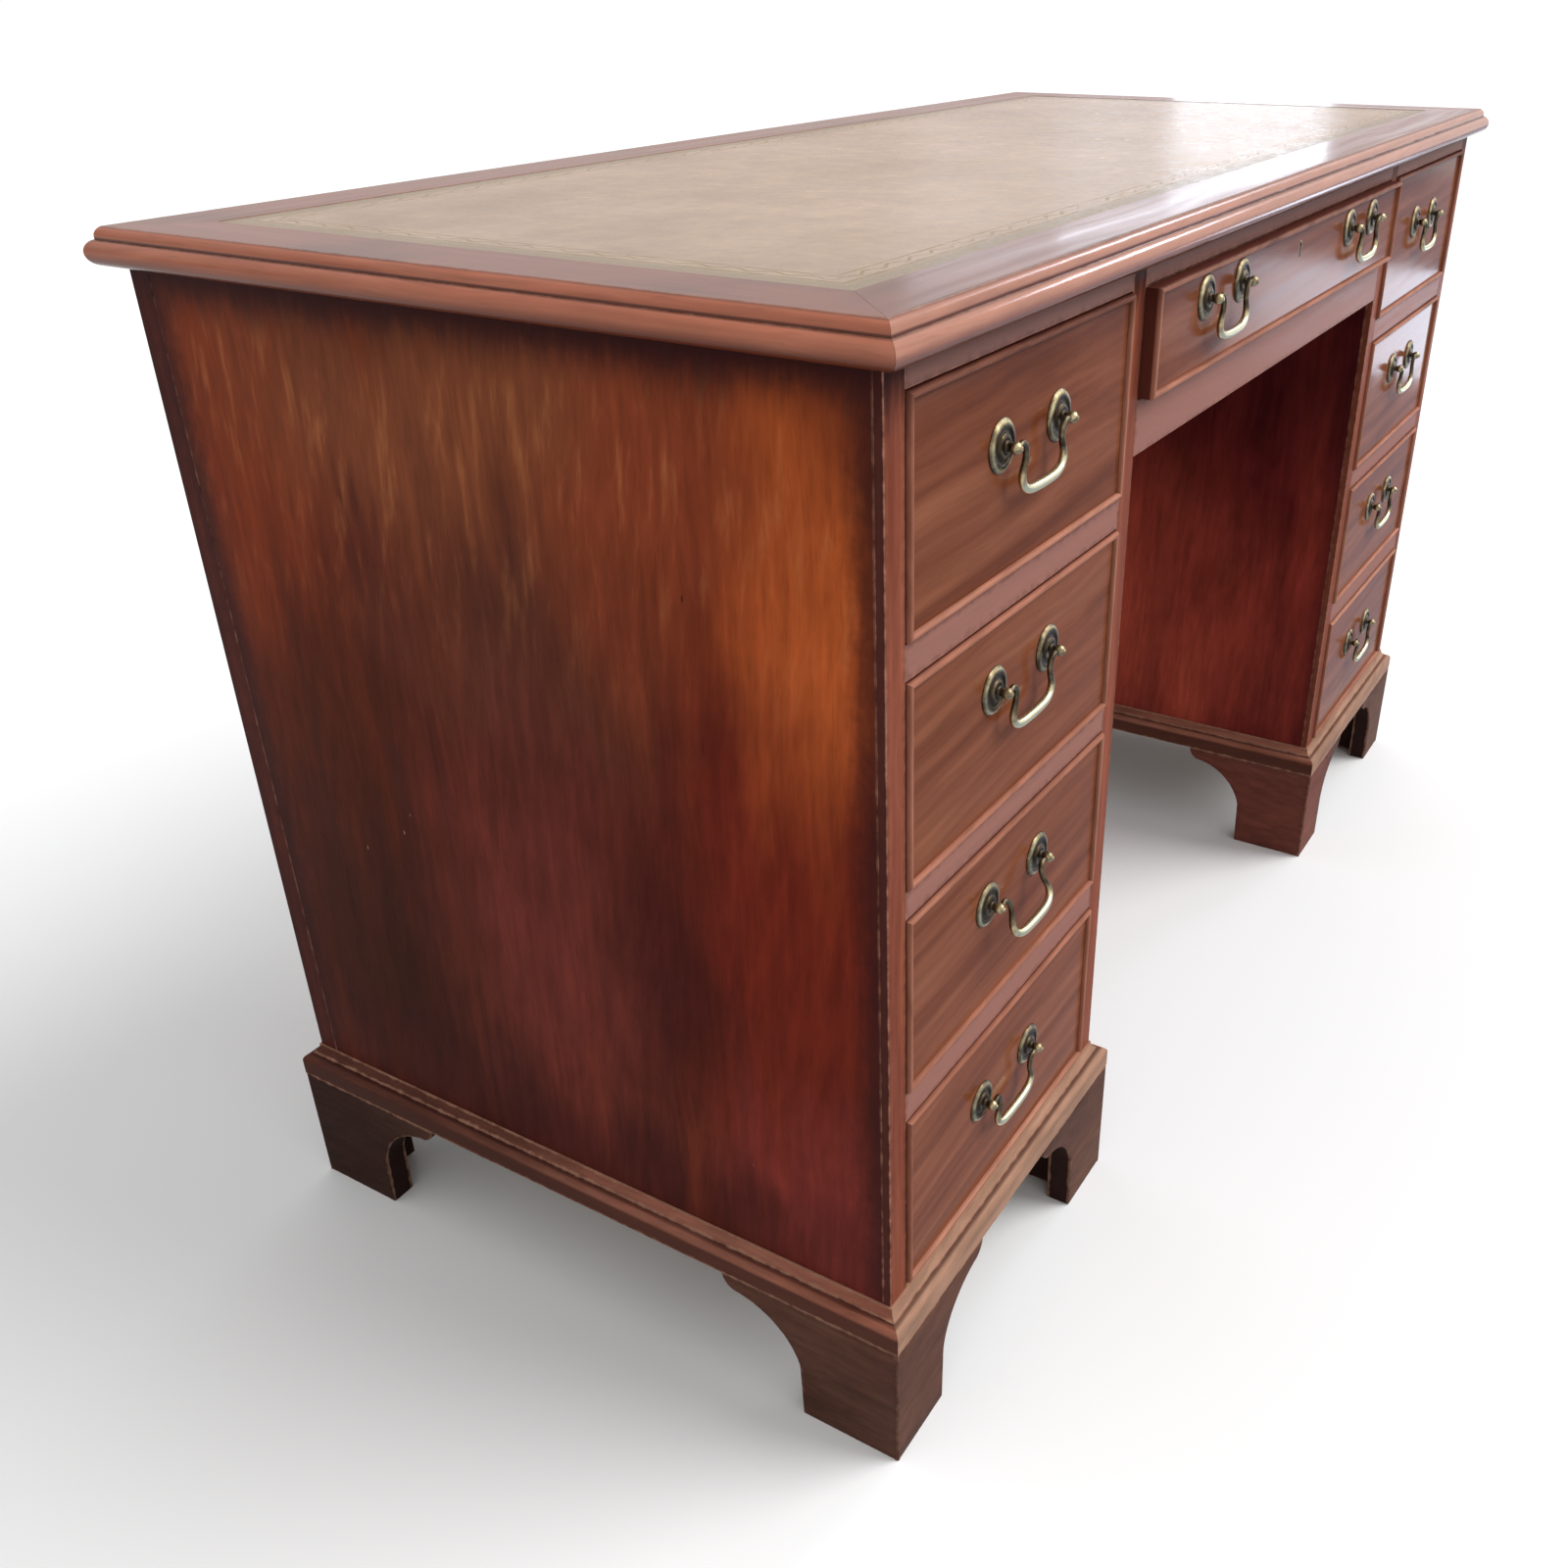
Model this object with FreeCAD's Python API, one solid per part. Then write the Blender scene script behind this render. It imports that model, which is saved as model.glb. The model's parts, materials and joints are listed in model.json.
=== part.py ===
import FreeCAD, Part
import math
import os

V = FreeCAD.Vector

# Carcass. X runs along the front from the left outer face, Y runs back from the face of the front
# frame, and Z is up from the floor. Every piece is moved by row_shift when it is saved, so that the
# origin is under the middle of the whole desk.
carcass_width = 1236.0
carcass_depth = 543.0
desk_height = 765.0
top_thickness = 23.0
pedestal_width = 318.0
plinth_bottom = 106.0
plinth_face = 12.0
board = 20.0
facing = 6.0
back_thickness = 18.0
floor_board = 18.0
rail_depth = 60.0
runner_width = 24.0
top_underside = desk_height - top_thickness
carcass_foot = plinth_bottom + plinth_face

# Drawers of a pedestal from the top down: their shares of the clear height, and the rails between them
drawer_shares = (0.24575, 0.24575, 0.24197, 0.26653)
drawer_rails = (21.0, 19.0, 22.0)
top_rail = 15.0
kneehole_rail = 37.0
centre_drawer_height = 71.0

# Top
overhang = 16.4
leather_border = 40.0
bullnose = 8.0
ovolo_foot = 10.7
ovolo_head = 6.7
ovolo_height = 7.0
leather_thickness = 1.5
leather_drop = 0.3

# Plinth moulding, a round with a cove over it, and bracket feet
plinth_out = 12.4
plinth_lap = 20.0
round_rise = 6.6
round_set = 5.8
step_rise = 1.4
step_set = 1.2
cove_rise = 7.3
cove_lip = 1.2
bracket_thickness = 20.0
bracket_leg = 48.0
bracket_tail = 13.0
bracket_batter = 1.5
bracket_front = 62.0
bracket_side = 78.0
front_curve = 50.0
side_curve = 56.0
bracket_cusp = 9.0
glue_block = 30.0
glue_block_lift = 3.0

# Drawers
side_clearance = 1.0
top_clearance = 1.2
run_clearance = 0.3
front_thickness = 22.0
bead = 3.0
bead_depth = 10.0
box_side = 10.0
box_side_drop = 4.0
box_back_drop = 12.0
box_end_room = 33.0
bottom_thickness = 6.0
bottom_lift = 10.0
side_groove = 4.0
front_groove = 5.0
tail_slope = 2.2
centre_open = 8.0
stop_size = (40.0, 25.0, 4.0)

# Handles. Rises are those of the post centres over the opening's foot, as a share of its height
post_spacing = 72.0
handle_rises = (0.6, 0.64615, 0.62891, 0.57447)
centre_handle_rise = 0.70423
centre_handle_inset = 126.0
pivot_out = 8.8
shank_radius = 2.9
shank_hole = 3.0
rosette_radius = 15.2
rosette_height = 3.4
ball_radius = 3.7
stem_radius = 2.4
nib = 0.5
nib_radius = 1.5
nib_flat = 1.1
flare_radius = 4.4
flare_rise = 1.5
shank_tip = 2.0
nut_flats = 11.0
nut_thickness = 4.0
pin_radius = 1.45
pin_hole = 1.5
pin_tip = 35.0
bail_tilt = {"left_3": 18.0}

# Half of the bail's centre line: distance from the middle, drop below the pivot, radius of the bar
bail_line = [
    (31.2, 0.0, 1.7), (28.4, -0.9, 1.9), (25.0, 0.9, 2.0), (23.2, 4.8, 1.9), (23.6, 9.6, 1.9), (25.6, 14.4, 2.1),
    (26.7, 18.8, 2.3), (25.2, 23.2, 2.5), (20.2, 26.5, 2.8), (11.0, 28.0, 3.0), (0.0, 28.3, 3.0),
]

# Lock of the middle drawer
lock_width = 44.0
lock_depth = 10.0
lock_height = 34.0
bolt_width = 18.0
bolt_thickness = 5.0
bolt_height = 24.0
bolt_throw = 8.0
bolt_clearance = 0.2
key_rise = 0.77465
key_radius = 2.4
key_slot = 2.6
key_drop = 9.0
escutcheon_wall = 0.9
escutcheon_depth = 3.0
strike_room = 1.5

box_end = carcass_depth - back_thickness - box_end_room

# The back of the top and the posts on the open middle drawer reach furthest along Y
row_shift = V(-carcass_width / 2,
              -(carcass_depth + overhang - centre_open - pivot_out - ball_radius - nib) / 2, 0)


def drawer_openings():
    clear = top_underside - top_rail - sum(drawer_rails) - carcass_foot - floor_board
    spans = []
    high = top_underside - top_rail
    for share, rail in zip(drawer_shares, drawer_rails + (0.0,)):
        low = high - clear * share
        spans.append((low, high))
        high = low - rail
    return spans


openings = drawer_openings()
centre_opening = (top_underside - top_rail - centre_drawer_height, top_underside - top_rail)
kneehole_top = centre_opening[0] - kneehole_rail
key_height = centre_opening[0] + centre_drawer_height * key_rise


def block(x0, x1, y0, y1, z0, z1):
    return Part.makeBox(x1 - x0, y1 - y0, z1 - z0, V(x0, y0, z0))


def line(a, b):
    return Part.LineSegment(a, b).toShape()


def arc(a, b, c):
    return Part.Arc(a, b, c).toShape()


def polygon(points):
    return Part.Face(Part.makePolygon(points + points[:1]))


def solid_sum(shapes):
    whole = shapes[0]
    for shape in shapes[1:]:
        whole = whole.fuse(shape)
    return whole.removeSplitter()


def save(node, solids):
    placed = []
    for solid in solids:
        moved = solid.copy()
        moved.translate(row_shift)
        placed.append(moved)
    shape = placed[0] if len(placed) == 1 else Part.makeCompound(placed)
    shape.exportStep("parts/" + node + ".step")


def section(steps):
    # Closed face in the YZ plane from (outward, height) points; a middle point makes an arc
    edges = []
    start = V(0, -steps[0][0], steps[0][1])
    here = start
    for step in steps[1:]:
        there = V(0, -step[0], step[1])
        if len(step) == 4:
            edges.append(arc(here, V(0, -step[2], step[3]), there))
        else:
            edges.append(line(here, there))
        here = there
    edges.append(line(here, start))
    return Part.Face(Part.Wire(edges))


def mitred_frame(profile, x0, y0, x1, y1):
    # Four strips round a rectangle. Each end is cut on the 45 degree plane through its corner
    box = profile.BoundBox
    strips = []
    sides = [(x0, y0, x1 - x0), (x1, y0, y1 - y0), (x1, y1, x1 - x0), (x0, y1, y1 - y0)]
    for turn, (px, py, length) in enumerate(sides):
        reach = box.YLength + 1
        bar = profile.copy()
        bar.translate(V(-reach, 0, 0))
        bar = bar.extrude(V(length + 2 * reach, 0, 0))
        low = box.YMin - 1
        high = box.YMax + 1
        keep = polygon([V(low, low, box.ZMin), V(length - low, low, box.ZMin),
                        V(length - high, high, box.ZMin), V(high, high, box.ZMin)])
        keep = keep.extrude(V(0, 0, box.ZLength))
        strip = bar.common(keep).Solids[0]
        strip.rotate(V(0, 0, 0), V(0, 0, 1), 90 * turn)
        strip.translate(V(px, py, 0))
        strips.append(strip)
    return strips


def pedestal_spans():
    return [(0.0, pedestal_width), (carcass_width - pedestal_width, carcass_width)]


def make_top():
    step = desk_height - ovolo_height
    nose_back = overhang - bullnose
    nose_mid = top_underside + bullnose
    nose_end = ovolo_foot + 0.8
    nose_top = nose_mid + math.sqrt(bullnose ** 2 - (nose_end - nose_back) ** 2)
    profile = section([
        (-leather_border, top_underside),
        (nose_back, top_underside),
        (nose_end, nose_top, overhang, nose_mid),
        (ovolo_foot, nose_top),
        (ovolo_foot, step + 0.2),
        (ovolo_head, desk_height, ovolo_foot - 1.0, desk_height - 2.6),
        (-leather_border, desk_height),
    ])
    save("top_border", mitred_frame(profile, 0, 0, carcass_width, carcass_depth))
    x0, x1 = leather_border, carcass_width - leather_border
    y0, y1 = leather_border, carcass_depth - leather_border
    leather_top = desk_height - leather_drop
    leather_bottom = leather_top - leather_thickness
    save("leather_writing_surface", [block(x0, x1, y0, y1, leather_bottom, leather_top)])
    save("top_panel", [block(x0, x1, y0, y1, top_underside, leather_bottom)])


def make_sides():
    y0, y1 = facing, carcass_depth - back_thickness
    z0, z1 = carcass_foot, top_underside
    outer_right = carcass_width
    inner = [(pedestal_width - board, pedestal_width)]
    inner.append((carcass_width - pedestal_width, carcass_width - pedestal_width + board))
    save("left_outer_side", [block(0, board, y0, y1, z0, z1)])
    save("right_outer_side", [block(outer_right - board, outer_right, y0, y1, z0, z1)])
    save("kneehole_sides", [block(a, b, y0, y1, z0, z1) for a, b in inner])


def make_front_frame():
    solids = []
    for left, right in pedestal_spans():
        for edge in (left, right - board):
            solids.append(block(edge, edge + board, 0, facing, carcass_foot, top_underside))
        a, b = left + board, right - board
        solids.append(block(a, b, 0, rail_depth, openings[0][1], top_underside))
        for above, below in zip(openings, openings[1:]):
            solids.append(block(a, b, 0, rail_depth, below[1], above[0]))
    a, b = pedestal_width, carcass_width - pedestal_width
    solids.append(block(a, b, 0, rail_depth, kneehole_top, centre_opening[0]))
    rail = block(a, b, 0, rail_depth, centre_opening[1], top_underside)
    half = bolt_width / 2 + strike_room
    bolt_y = front_thickness - lock_depth / 2
    y0 = bolt_y - centre_open - bolt_thickness / 2 - strike_room
    y1 = bolt_y + bolt_thickness / 2 + strike_room
    mid = carcass_width / 2
    top = centre_opening[1] + bolt_throw + strike_room
    solids.append(rail.cut(block(mid - half, mid + half, y0, y1, centre_opening[1], top)))
    save("front_frame", solids)


def make_inside():
    back = carcass_depth - back_thickness
    runners = []
    floors = []
    stop_x, stop_y, stop_z = stop_size
    stop_front = front_thickness + run_clearance

    def pair(left, right, z0, z1):
        for a in (left, right - runner_width):
            runners.append(block(a, a + runner_width, rail_depth, back, z0, z1))

    def stops(left, right, z):
        for mid in (left + (right - left) * 0.25, right - (right - left) * 0.25):
            low, high = mid - stop_x / 2, mid + stop_x / 2
            runners.append(block(low, high, stop_front, stop_front + stop_y, z, z + stop_z))

    for left, right in pedestal_spans():
        a, b = left + board, right - board
        pair(a, b, openings[0][1], top_underside)
        for above, below in zip(openings, openings[1:]):
            pair(a, b, below[1], above[0])
        for opening in openings:
            stops(a, b, opening[0])
        floors.append(block(a, b, 0, back, carcass_foot, carcass_foot + floor_board))
    a, b = pedestal_width, carcass_width - pedestal_width
    pair(a, b, kneehole_top, centre_opening[0])
    pair(a, b, centre_opening[1], top_underside)
    stops(a, b, centre_opening[0])
    save("drawer_runners", runners)
    save("bottom_boards", floors)


def make_back():
    y0, y1 = carcass_depth - back_thickness, carcass_depth
    solids = [block(a, b, y0, y1, carcass_foot, top_underside) for a, b in pedestal_spans()]
    solids.append(block(pedestal_width, carcass_width - pedestal_width, y0, y1, kneehole_top, top_underside))
    save("back_boards", solids)


def make_plinth():
    round_top = carcass_foot + round_rise
    cove_foot = round_top + step_rise
    cove_out = plinth_out - round_set - step_set
    profile = section([
        (-plinth_lap, plinth_bottom),
        (plinth_out, plinth_bottom),
        (plinth_out, carcass_foot),
        (cove_out + step_set, round_top, plinth_out - round_set * 0.26, carcass_foot + round_rise * 0.7),
        (cove_out, round_top),
        (cove_out, cove_foot),
        (cove_lip, cove_foot + cove_rise, cove_lip + (cove_out - cove_lip) * 0.286, cove_foot + cove_rise * 0.384),
        (0.0, cove_foot + cove_rise),
        (0.0, carcass_foot),
        (-plinth_lap, carcass_foot),
    ])
    solids = []
    for left, right in pedestal_spans():
        solids += mitred_frame(profile, left, 0, right, carcass_depth)
    save("plinth_moulding", solids)


def bracket(width, curve):
    # One bracket lying along +X from the corner, its outer face at y = 0, mitred at the corner
    crown = plinth_bottom - bracket_tail
    leg = V(width + bracket_batter, 0, bracket_leg)
    cusp = V(width + curve, 0, crown)
    tail = V(width + curve + bracket_cusp, 0, plinth_bottom)
    edges = [
        line(V(0, 0, 0), V(width, 0, 0)),
        line(V(width, 0, 0), leg),
        arc(leg, V(width + curve * 0.35, 0, bracket_leg + (crown - bracket_leg) * 0.6556), cusp),
        arc(cusp, V(width + curve + bracket_cusp * 0.75, 0, crown + bracket_tail * 0.4231), tail),
        line(tail, V(0, 0, plinth_bottom)),
        line(V(0, 0, plinth_bottom), V(0, 0, 0)),
    ]
    solid = Part.Face(Part.Wire(edges)).extrude(V(0, bracket_thickness, 0))
    t = bracket_thickness
    corner = polygon([V(0, 0, 0), V(0, t, 0), V(t, t, 0)]).extrude(V(0, 0, plinth_bottom))
    return solid.cut(corner)


def make_feet():
    along_front = bracket(bracket_front, front_curve)
    along_side = bracket(bracket_side, side_curve).mirror(V(0, 0, 0), V(1, -1, 0))
    inner = bracket_thickness
    corner_block = block(inner, inner + glue_block, inner, inner + glue_block, glue_block_lift, plinth_bottom)
    foot = [along_front, along_side, corner_block]
    solids = []
    for left, right in pedestal_spans():
        for flip_x, x in ((False, left - plinth_out), (True, right + plinth_out)):
            for flip_y, y in ((False, -plinth_out), (True, carcass_depth + plinth_out)):
                for piece in foot:
                    placed = piece.copy()
                    if flip_x:
                        placed = placed.mirror(V(0, 0, 0), V(1, 0, 0))
                    if flip_y:
                        placed = placed.mirror(V(0, 0, 0), V(0, 1, 0))
                    placed.translate(V(x, y, 0))
                    solids.append(placed)
    save("bracket_feet", solids)


def turned(points, x, y, z):
    # Turned piece on an axis along -Y: (radius, outward) points, with a middle point for an arc
    edges = []
    here = V(points[0][0], -points[0][1], 0)
    start = here
    for point in points[1:]:
        there = V(point[0], -point[1], 0)
        if len(point) == 4:
            edges.append(arc(here, V(point[2], -point[3], 0), there))
        else:
            edges.append(line(here, there))
        here = there
    edges.append(line(here, start))
    solid = Part.Face(Part.Wire(edges)).revolve(V(0, 0, 0), V(0, 1, 0), 360)
    solid.translate(V(x, y, z))
    return solid


def make_handle(x, z):
    # Rosettes, posts and nuts of one handle, with the posts drilled for the bail's pins
    solids = []
    for side in (-1, 1):
        px = x + side * post_spacing / 2
        r, h = rosette_radius, rosette_height
        rosette = turned([
            (shank_hole, 0.0), (r, 0.0), (r, h * 0.18), (r * 0.7, h * 0.7, r * 0.9, h * 0.55),
            (r * 0.66, h * 0.5), (r * 0.5, h * 0.55, r * 0.58, h * 0.44),
            (r * 0.36, h, r * 0.45, h * 0.88), (shank_hole, h),
        ], px, 0, z)
        shank_end = front_thickness + nut_thickness + shank_tip
        tip = pivot_out + ball_radius + nib
        post = turned([
            (0.0, -shank_end), (shank_radius, -shank_end), (shank_radius, h), (flare_radius, h),
            (stem_radius, h + flare_rise, stem_radius + (flare_radius - stem_radius) * 0.24, h + flare_rise * 0.3556),
            (stem_radius, pivot_out), (nib_radius, pivot_out), (nib_radius, tip - nib),
            (nib_flat, tip), (0.0, tip),
        ], px, 0, z)
        post = solid_sum([post, Part.makeSphere(ball_radius, V(px, -pivot_out, z))])
        drill = Part.makeCylinder(pin_hole, post_spacing / 2, V(x, -pivot_out, z), V(side, 0, 0))
        nut_points = []
        for corner in range(6):
            angle = math.radians(60 * corner)
            reach = nut_flats / math.sqrt(3)
            nut_points.append(V(px + reach * math.cos(angle), front_thickness, z + reach * math.sin(angle)))
        nut = polygon(nut_points).extrude(V(0, nut_thickness, 0))
        nut = nut.cut(Part.makeCylinder(shank_hole, front_thickness, V(px, front_thickness, z), V(0, 1, 0)))
        solids += [rosette, post.cut(drill), nut]
    return solids


def make_bail(x, z, tilt):
    right = [V(u, 0, -drop) for u, drop, radius in bail_line]
    left = [V(-u, 0, -drop) for u, drop, radius in reversed(bail_line[:-1])]
    radii = [entry[2] for entry in bail_line]
    radii += radii[-2::-1]
    points = right + left
    curve = Part.BSplineCurve()
    curve.interpolate(Points=points, InitialTangent=V(-1, 0, 0), FinalTangent=V(-1, 0, 0))
    rings = []
    for index, point in enumerate(points):
        at = curve.parameter(point)
        along = curve.tangent(at)[0]
        ring = Part.Wire(Part.makeCircle(radii[index]))
        turn = FreeCAD.Rotation(V(0, 1, 0), V(0, 0, 0), along, "ZXY")
        ring.Placement = FreeCAD.Placement(point, turn)
        rings.append(ring)
    pins = []
    for side in (-1, 1):
        pins.append(Part.makeCylinder(pin_radius, pin_tip - bail_line[0][0] + 1,
                                      V(side * (bail_line[0][0] - 1), 0, 0), V(side, 0, 0)))
    solid = solid_sum([Part.makeLoft(rings, True, False)] + pins)
    solid.rotate(V(0, 0, 0), V(-1, 0, 0), tilt)
    solid.translate(V(x, -pivot_out, z))
    return solid


def dovetails(x, z0, z1):
    # Three tails of a side board that starts at x, wider towards the drawer's face
    solids = []
    count = 3
    pitch = (z1 - z0) / count
    for index in range(count):
        mid = z0 + pitch * (index + 0.5)
        narrow = pitch * 0.3
        wide = narrow + tail_slope
        tail = polygon([V(x, bead_depth, mid - wide), V(x, bead_depth, mid + wide),
                        V(x, front_thickness, mid + narrow), V(x, front_thickness, mid - narrow)])
        solids.append(tail.extrude(V(box_side, 0, 0)))
    return solids


def keyhole(radius, slot, x, y0, y1):
    round_part = Part.makeCylinder(radius, y1 - y0, V(x, y0, key_height), V(0, 1, 0))
    low = key_height - key_drop - (radius - key_radius)
    return solid_sum([round_part, block(x - slot / 2, x + slot / 2, y0, y1, low, key_height)])


def make_lock(x, front_top):
    # Case let into the back of the front, bolt in the case, thread escutcheon in the face
    y0, y1 = front_thickness - lock_depth, front_thickness
    half = lock_width / 2
    mortise = block(x - half, x + half, y0, y1, front_top - lock_height, front_top)
    middle = front_thickness - lock_depth / 2
    room_x = bolt_width / 2 + bolt_clearance
    room_y = bolt_thickness / 2 + bolt_clearance
    bolt_low = front_top - bolt_height
    room = block(x - room_x, x + room_x, middle - room_y, middle + room_y, bolt_low - bolt_clearance, front_top)
    case = mortise.cut(room)
    bolt = block(x - bolt_width / 2, x + bolt_width / 2, middle - bolt_thickness / 2,
                 middle + bolt_thickness / 2, bolt_low, front_top)
    outer = keyhole(key_radius + escutcheon_wall, key_slot + 2 * escutcheon_wall, x, 0, escutcheon_depth)
    hole = keyhole(key_radius, key_slot, x, 0, y0)
    escutcheon = outer.cut(hole)
    cuts = [mortise, outer, hole]
    return cuts, [case, escutcheon], bolt


def make_drawer(name, left, right, opening, handles, height, pulled):
    low, high = opening
    x0, x1 = left + side_clearance, right - side_clearance
    z0, z1 = low + side_clearance, high - top_clearance
    front = solid_sum([
        block(x0, x1, bead_depth, front_thickness, z0, z1),
        block(x0 + bead, x1 - bead, 0, bead_depth, z0 + bead, z1 - bead),
    ])
    side_low, side_high = low + run_clearance, z1 - box_side_drop
    groove_low = low + bottom_lift
    inner_left, inner_right = x0 + box_side, x1 - box_side
    bottom = block(inner_left - side_groove, inner_right + side_groove, front_thickness - front_groove,
                   box_end, groove_low, groove_low + bottom_thickness)
    box = []
    for edge in (x0, inner_right):
        tails = dovetails(edge, max(side_low, z0) + bead, side_high)
        side = block(edge, edge + box_side, front_thickness, box_end, side_low, side_high)
        box.append(solid_sum([side] + tails).cut(bottom))
        for tail in tails:
            front = front.cut(tail)
    front = front.cut(block(inner_left, inner_right, front_thickness - front_groove, front_thickness,
                            groove_low, groove_low + bottom_thickness))
    trimmed = bottom.cut(block(inner_left - side_groove, inner_left, 0, front_thickness, low, high))
    trimmed = trimmed.cut(block(inner_right, inner_right + side_groove, 0, front_thickness, low, high))
    box.append(trimmed)
    box.append(block(inner_left, inner_right, box_end - box_side, box_end,
                     groove_low + bottom_thickness, z1 - box_back_drop))

    plates = []
    bails = []
    for x in handles:
        plates += make_handle(x, height)
        bails.append(make_bail(x, height, bail_tilt.get(name, 0.0)))
        for side in (-1, 1):
            px = x + side * post_spacing / 2
            front = front.cut(Part.makeCylinder(shank_hole, front_thickness, V(px, 0, height), V(0, 1, 0)))

    profile = section([
        (0.0, -bead_depth), (bead, -bead_depth), (bead, bead / 2),
        (0.0, bead / 2, bead / 2, bead),
    ])
    beads = mitred_frame(profile, x0 + bead, z0 + bead, x1 - bead, z1 - bead)
    for strip in beads:
        strip.rotate(V(0, 0, 0), V(1, 0, 0), 90)

    pieces = {"_cockbead": beads, "_box": box, "_handle_plates": plates}
    if len(bails) == 1:
        pieces["_bail"] = bails
    else:
        pieces["_left_bail"] = bails[:1]
        pieces["_right_bail"] = bails[1:]
        cuts, lock, bolt = make_lock((x0 + x1) / 2, z1)
        for cut in cuts:
            front = front.cut(cut)
        pieces["_lock"] = lock
        pieces["_lock_bolt"] = [bolt]
    pieces["_front"] = [front]
    for suffix, solids in pieces.items():
        for solid in solids:
            solid.translate(V(0, -pulled, 0))
        save(name + suffix, solids)


def make_drawers():
    for side, (left, right) in zip(("left", "right"), pedestal_spans()):
        a, b = left + board, right - board
        for number, opening in enumerate(openings):
            name = side + "_" + str(number + 1)
            height = opening[0] + (opening[1] - opening[0]) * handle_rises[number]
            make_drawer(name, a, b, opening, [(a + b) / 2], height, 0.0)
    a, b = pedestal_width, carcass_width - pedestal_width
    handles = [a + centre_handle_inset, b - centre_handle_inset]
    height = centre_opening[0] + centre_drawer_height * centre_handle_rise
    make_drawer("centre", a, b, centre_opening, handles, height, centre_open)


os.makedirs("parts", exist_ok=True)
make_top()
make_sides()
make_front_frame()
make_inside()
make_back()
make_plinth()
make_feet()
make_drawers()
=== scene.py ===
import json
from functools import partial
import bpy
import numpy as np
from mathutils import Matrix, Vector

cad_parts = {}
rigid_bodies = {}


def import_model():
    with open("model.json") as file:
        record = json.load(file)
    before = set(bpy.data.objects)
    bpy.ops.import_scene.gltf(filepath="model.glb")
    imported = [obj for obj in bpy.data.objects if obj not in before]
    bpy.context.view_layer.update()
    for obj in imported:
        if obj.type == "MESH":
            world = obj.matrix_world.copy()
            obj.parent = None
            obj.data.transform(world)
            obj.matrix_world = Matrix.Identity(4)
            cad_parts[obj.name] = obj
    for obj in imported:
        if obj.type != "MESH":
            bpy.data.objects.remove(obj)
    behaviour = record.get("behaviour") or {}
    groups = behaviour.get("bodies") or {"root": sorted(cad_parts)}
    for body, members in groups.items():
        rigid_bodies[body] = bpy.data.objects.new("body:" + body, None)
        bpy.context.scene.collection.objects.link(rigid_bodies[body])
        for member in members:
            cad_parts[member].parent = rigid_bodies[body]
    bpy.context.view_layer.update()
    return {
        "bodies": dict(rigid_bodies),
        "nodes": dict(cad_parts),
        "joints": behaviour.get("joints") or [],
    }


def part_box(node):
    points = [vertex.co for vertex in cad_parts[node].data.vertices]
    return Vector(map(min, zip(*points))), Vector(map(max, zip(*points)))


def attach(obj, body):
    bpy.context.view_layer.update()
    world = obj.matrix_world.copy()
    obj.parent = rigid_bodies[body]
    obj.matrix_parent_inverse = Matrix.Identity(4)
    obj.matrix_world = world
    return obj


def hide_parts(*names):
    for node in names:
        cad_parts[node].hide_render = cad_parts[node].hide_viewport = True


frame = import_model()
chance = np.random.default_rng(11)
print("frame loaded,", len(frame["nodes"]), "CAD nodes")

# Places of the carcass in the row frame, in metres
desk = dict(
    left=-0.618, right=0.618, front=-0.2692, back=0.2738,
    pedestal=0.318, board=0.020, facing=0.006, backBoard=0.018,
    foot=0.118, kneehole=0.619, underTop=0.742, height=0.765,
)
left, right = desk["left"], desk["right"]
pedestals = [(left, left + desk["pedestal"]), (right - desk["pedestal"], right)]
drawers = [body.removesuffix("_drawer") for body in frame["bodies"] if body.endswith("_drawer")]


# Shapes

def arcThrough(start, via, end, count):
    # circle through three points: its centre is equally far from all of them, and the angle runs past the middle one
    start, via, end = (np.array(p, float) for p in (start, via, end))
    rows = 2 * np.array([via - start, end - start])
    centre = np.linalg.solve(rows, [via @ via - start @ start, end @ end - start @ start])
    a, m, b = (np.arctan2(*(p - centre)[::-1]) for p in (start, via, end))
    turn = (b - a) % (2 * np.pi)
    if (m - a) % (2 * np.pi) > turn:
        turn -= 2 * np.pi
    angle = a + turn * np.linspace(0, 1, count)
    return centre + np.linalg.norm(start - centre) * np.stack([np.cos(angle), np.sin(angle)], 1)


def outline(steps, spacing=2.5, arcCount=9):
    # (x, y) points joined by straight runs, cut into equal steps, or by arcs where a middle point is given;
    # millimetres in, metres out
    points = [np.array([steps[0]], float)]
    for before, step in zip(steps, steps[1:]):
        if len(step) == 4:
            run = arcThrough(before[:2], step[2:], step[:2], arcCount)
        else:
            pieces = max(1, int(np.hypot(step[0] - before[0], step[1] - before[1]) / spacing))
            run = np.linspace(before[:2], step, pieces + 1)
        points.append(run[1:])
    return np.concatenate(points) * 0.001


def gridFaces(rows, columns, wrapRows=False, wrapColumns=True):
    # four corners of each cell of the grid; a wrapped edge joins the last line to the first
    r, c = np.meshgrid(np.arange(rows - (not wrapRows)), np.arange(columns - (not wrapColumns)), indexing="ij")
    r2, c2 = (r + 1) % rows, (c + 1) % columns
    return np.stack([r * columns + c, r * columns + c2, r2 * columns + c2, r2 * columns + c], -1).reshape(-1, 4)


def endCaps(rows, columns):
    # one polygon over the first row of a grid and one over the last
    return [np.arange(columns)[None, ::-1], (rows - 1) * columns + np.arange(columns)[None]]


def boardMarks(points, low, high, along):
    # what the wood shader reads: place along the grain, place from the board's middle, and half its size
    order = [along] + [k for k in range(3) if k != along]
    return {"grain": points[:, order] + chance.uniform(-9, 9, 3), "fromMid": points - (low + high) / 2,
            "halfSize": np.broadcast_to((high - low) / 2, points.shape)}


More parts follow.
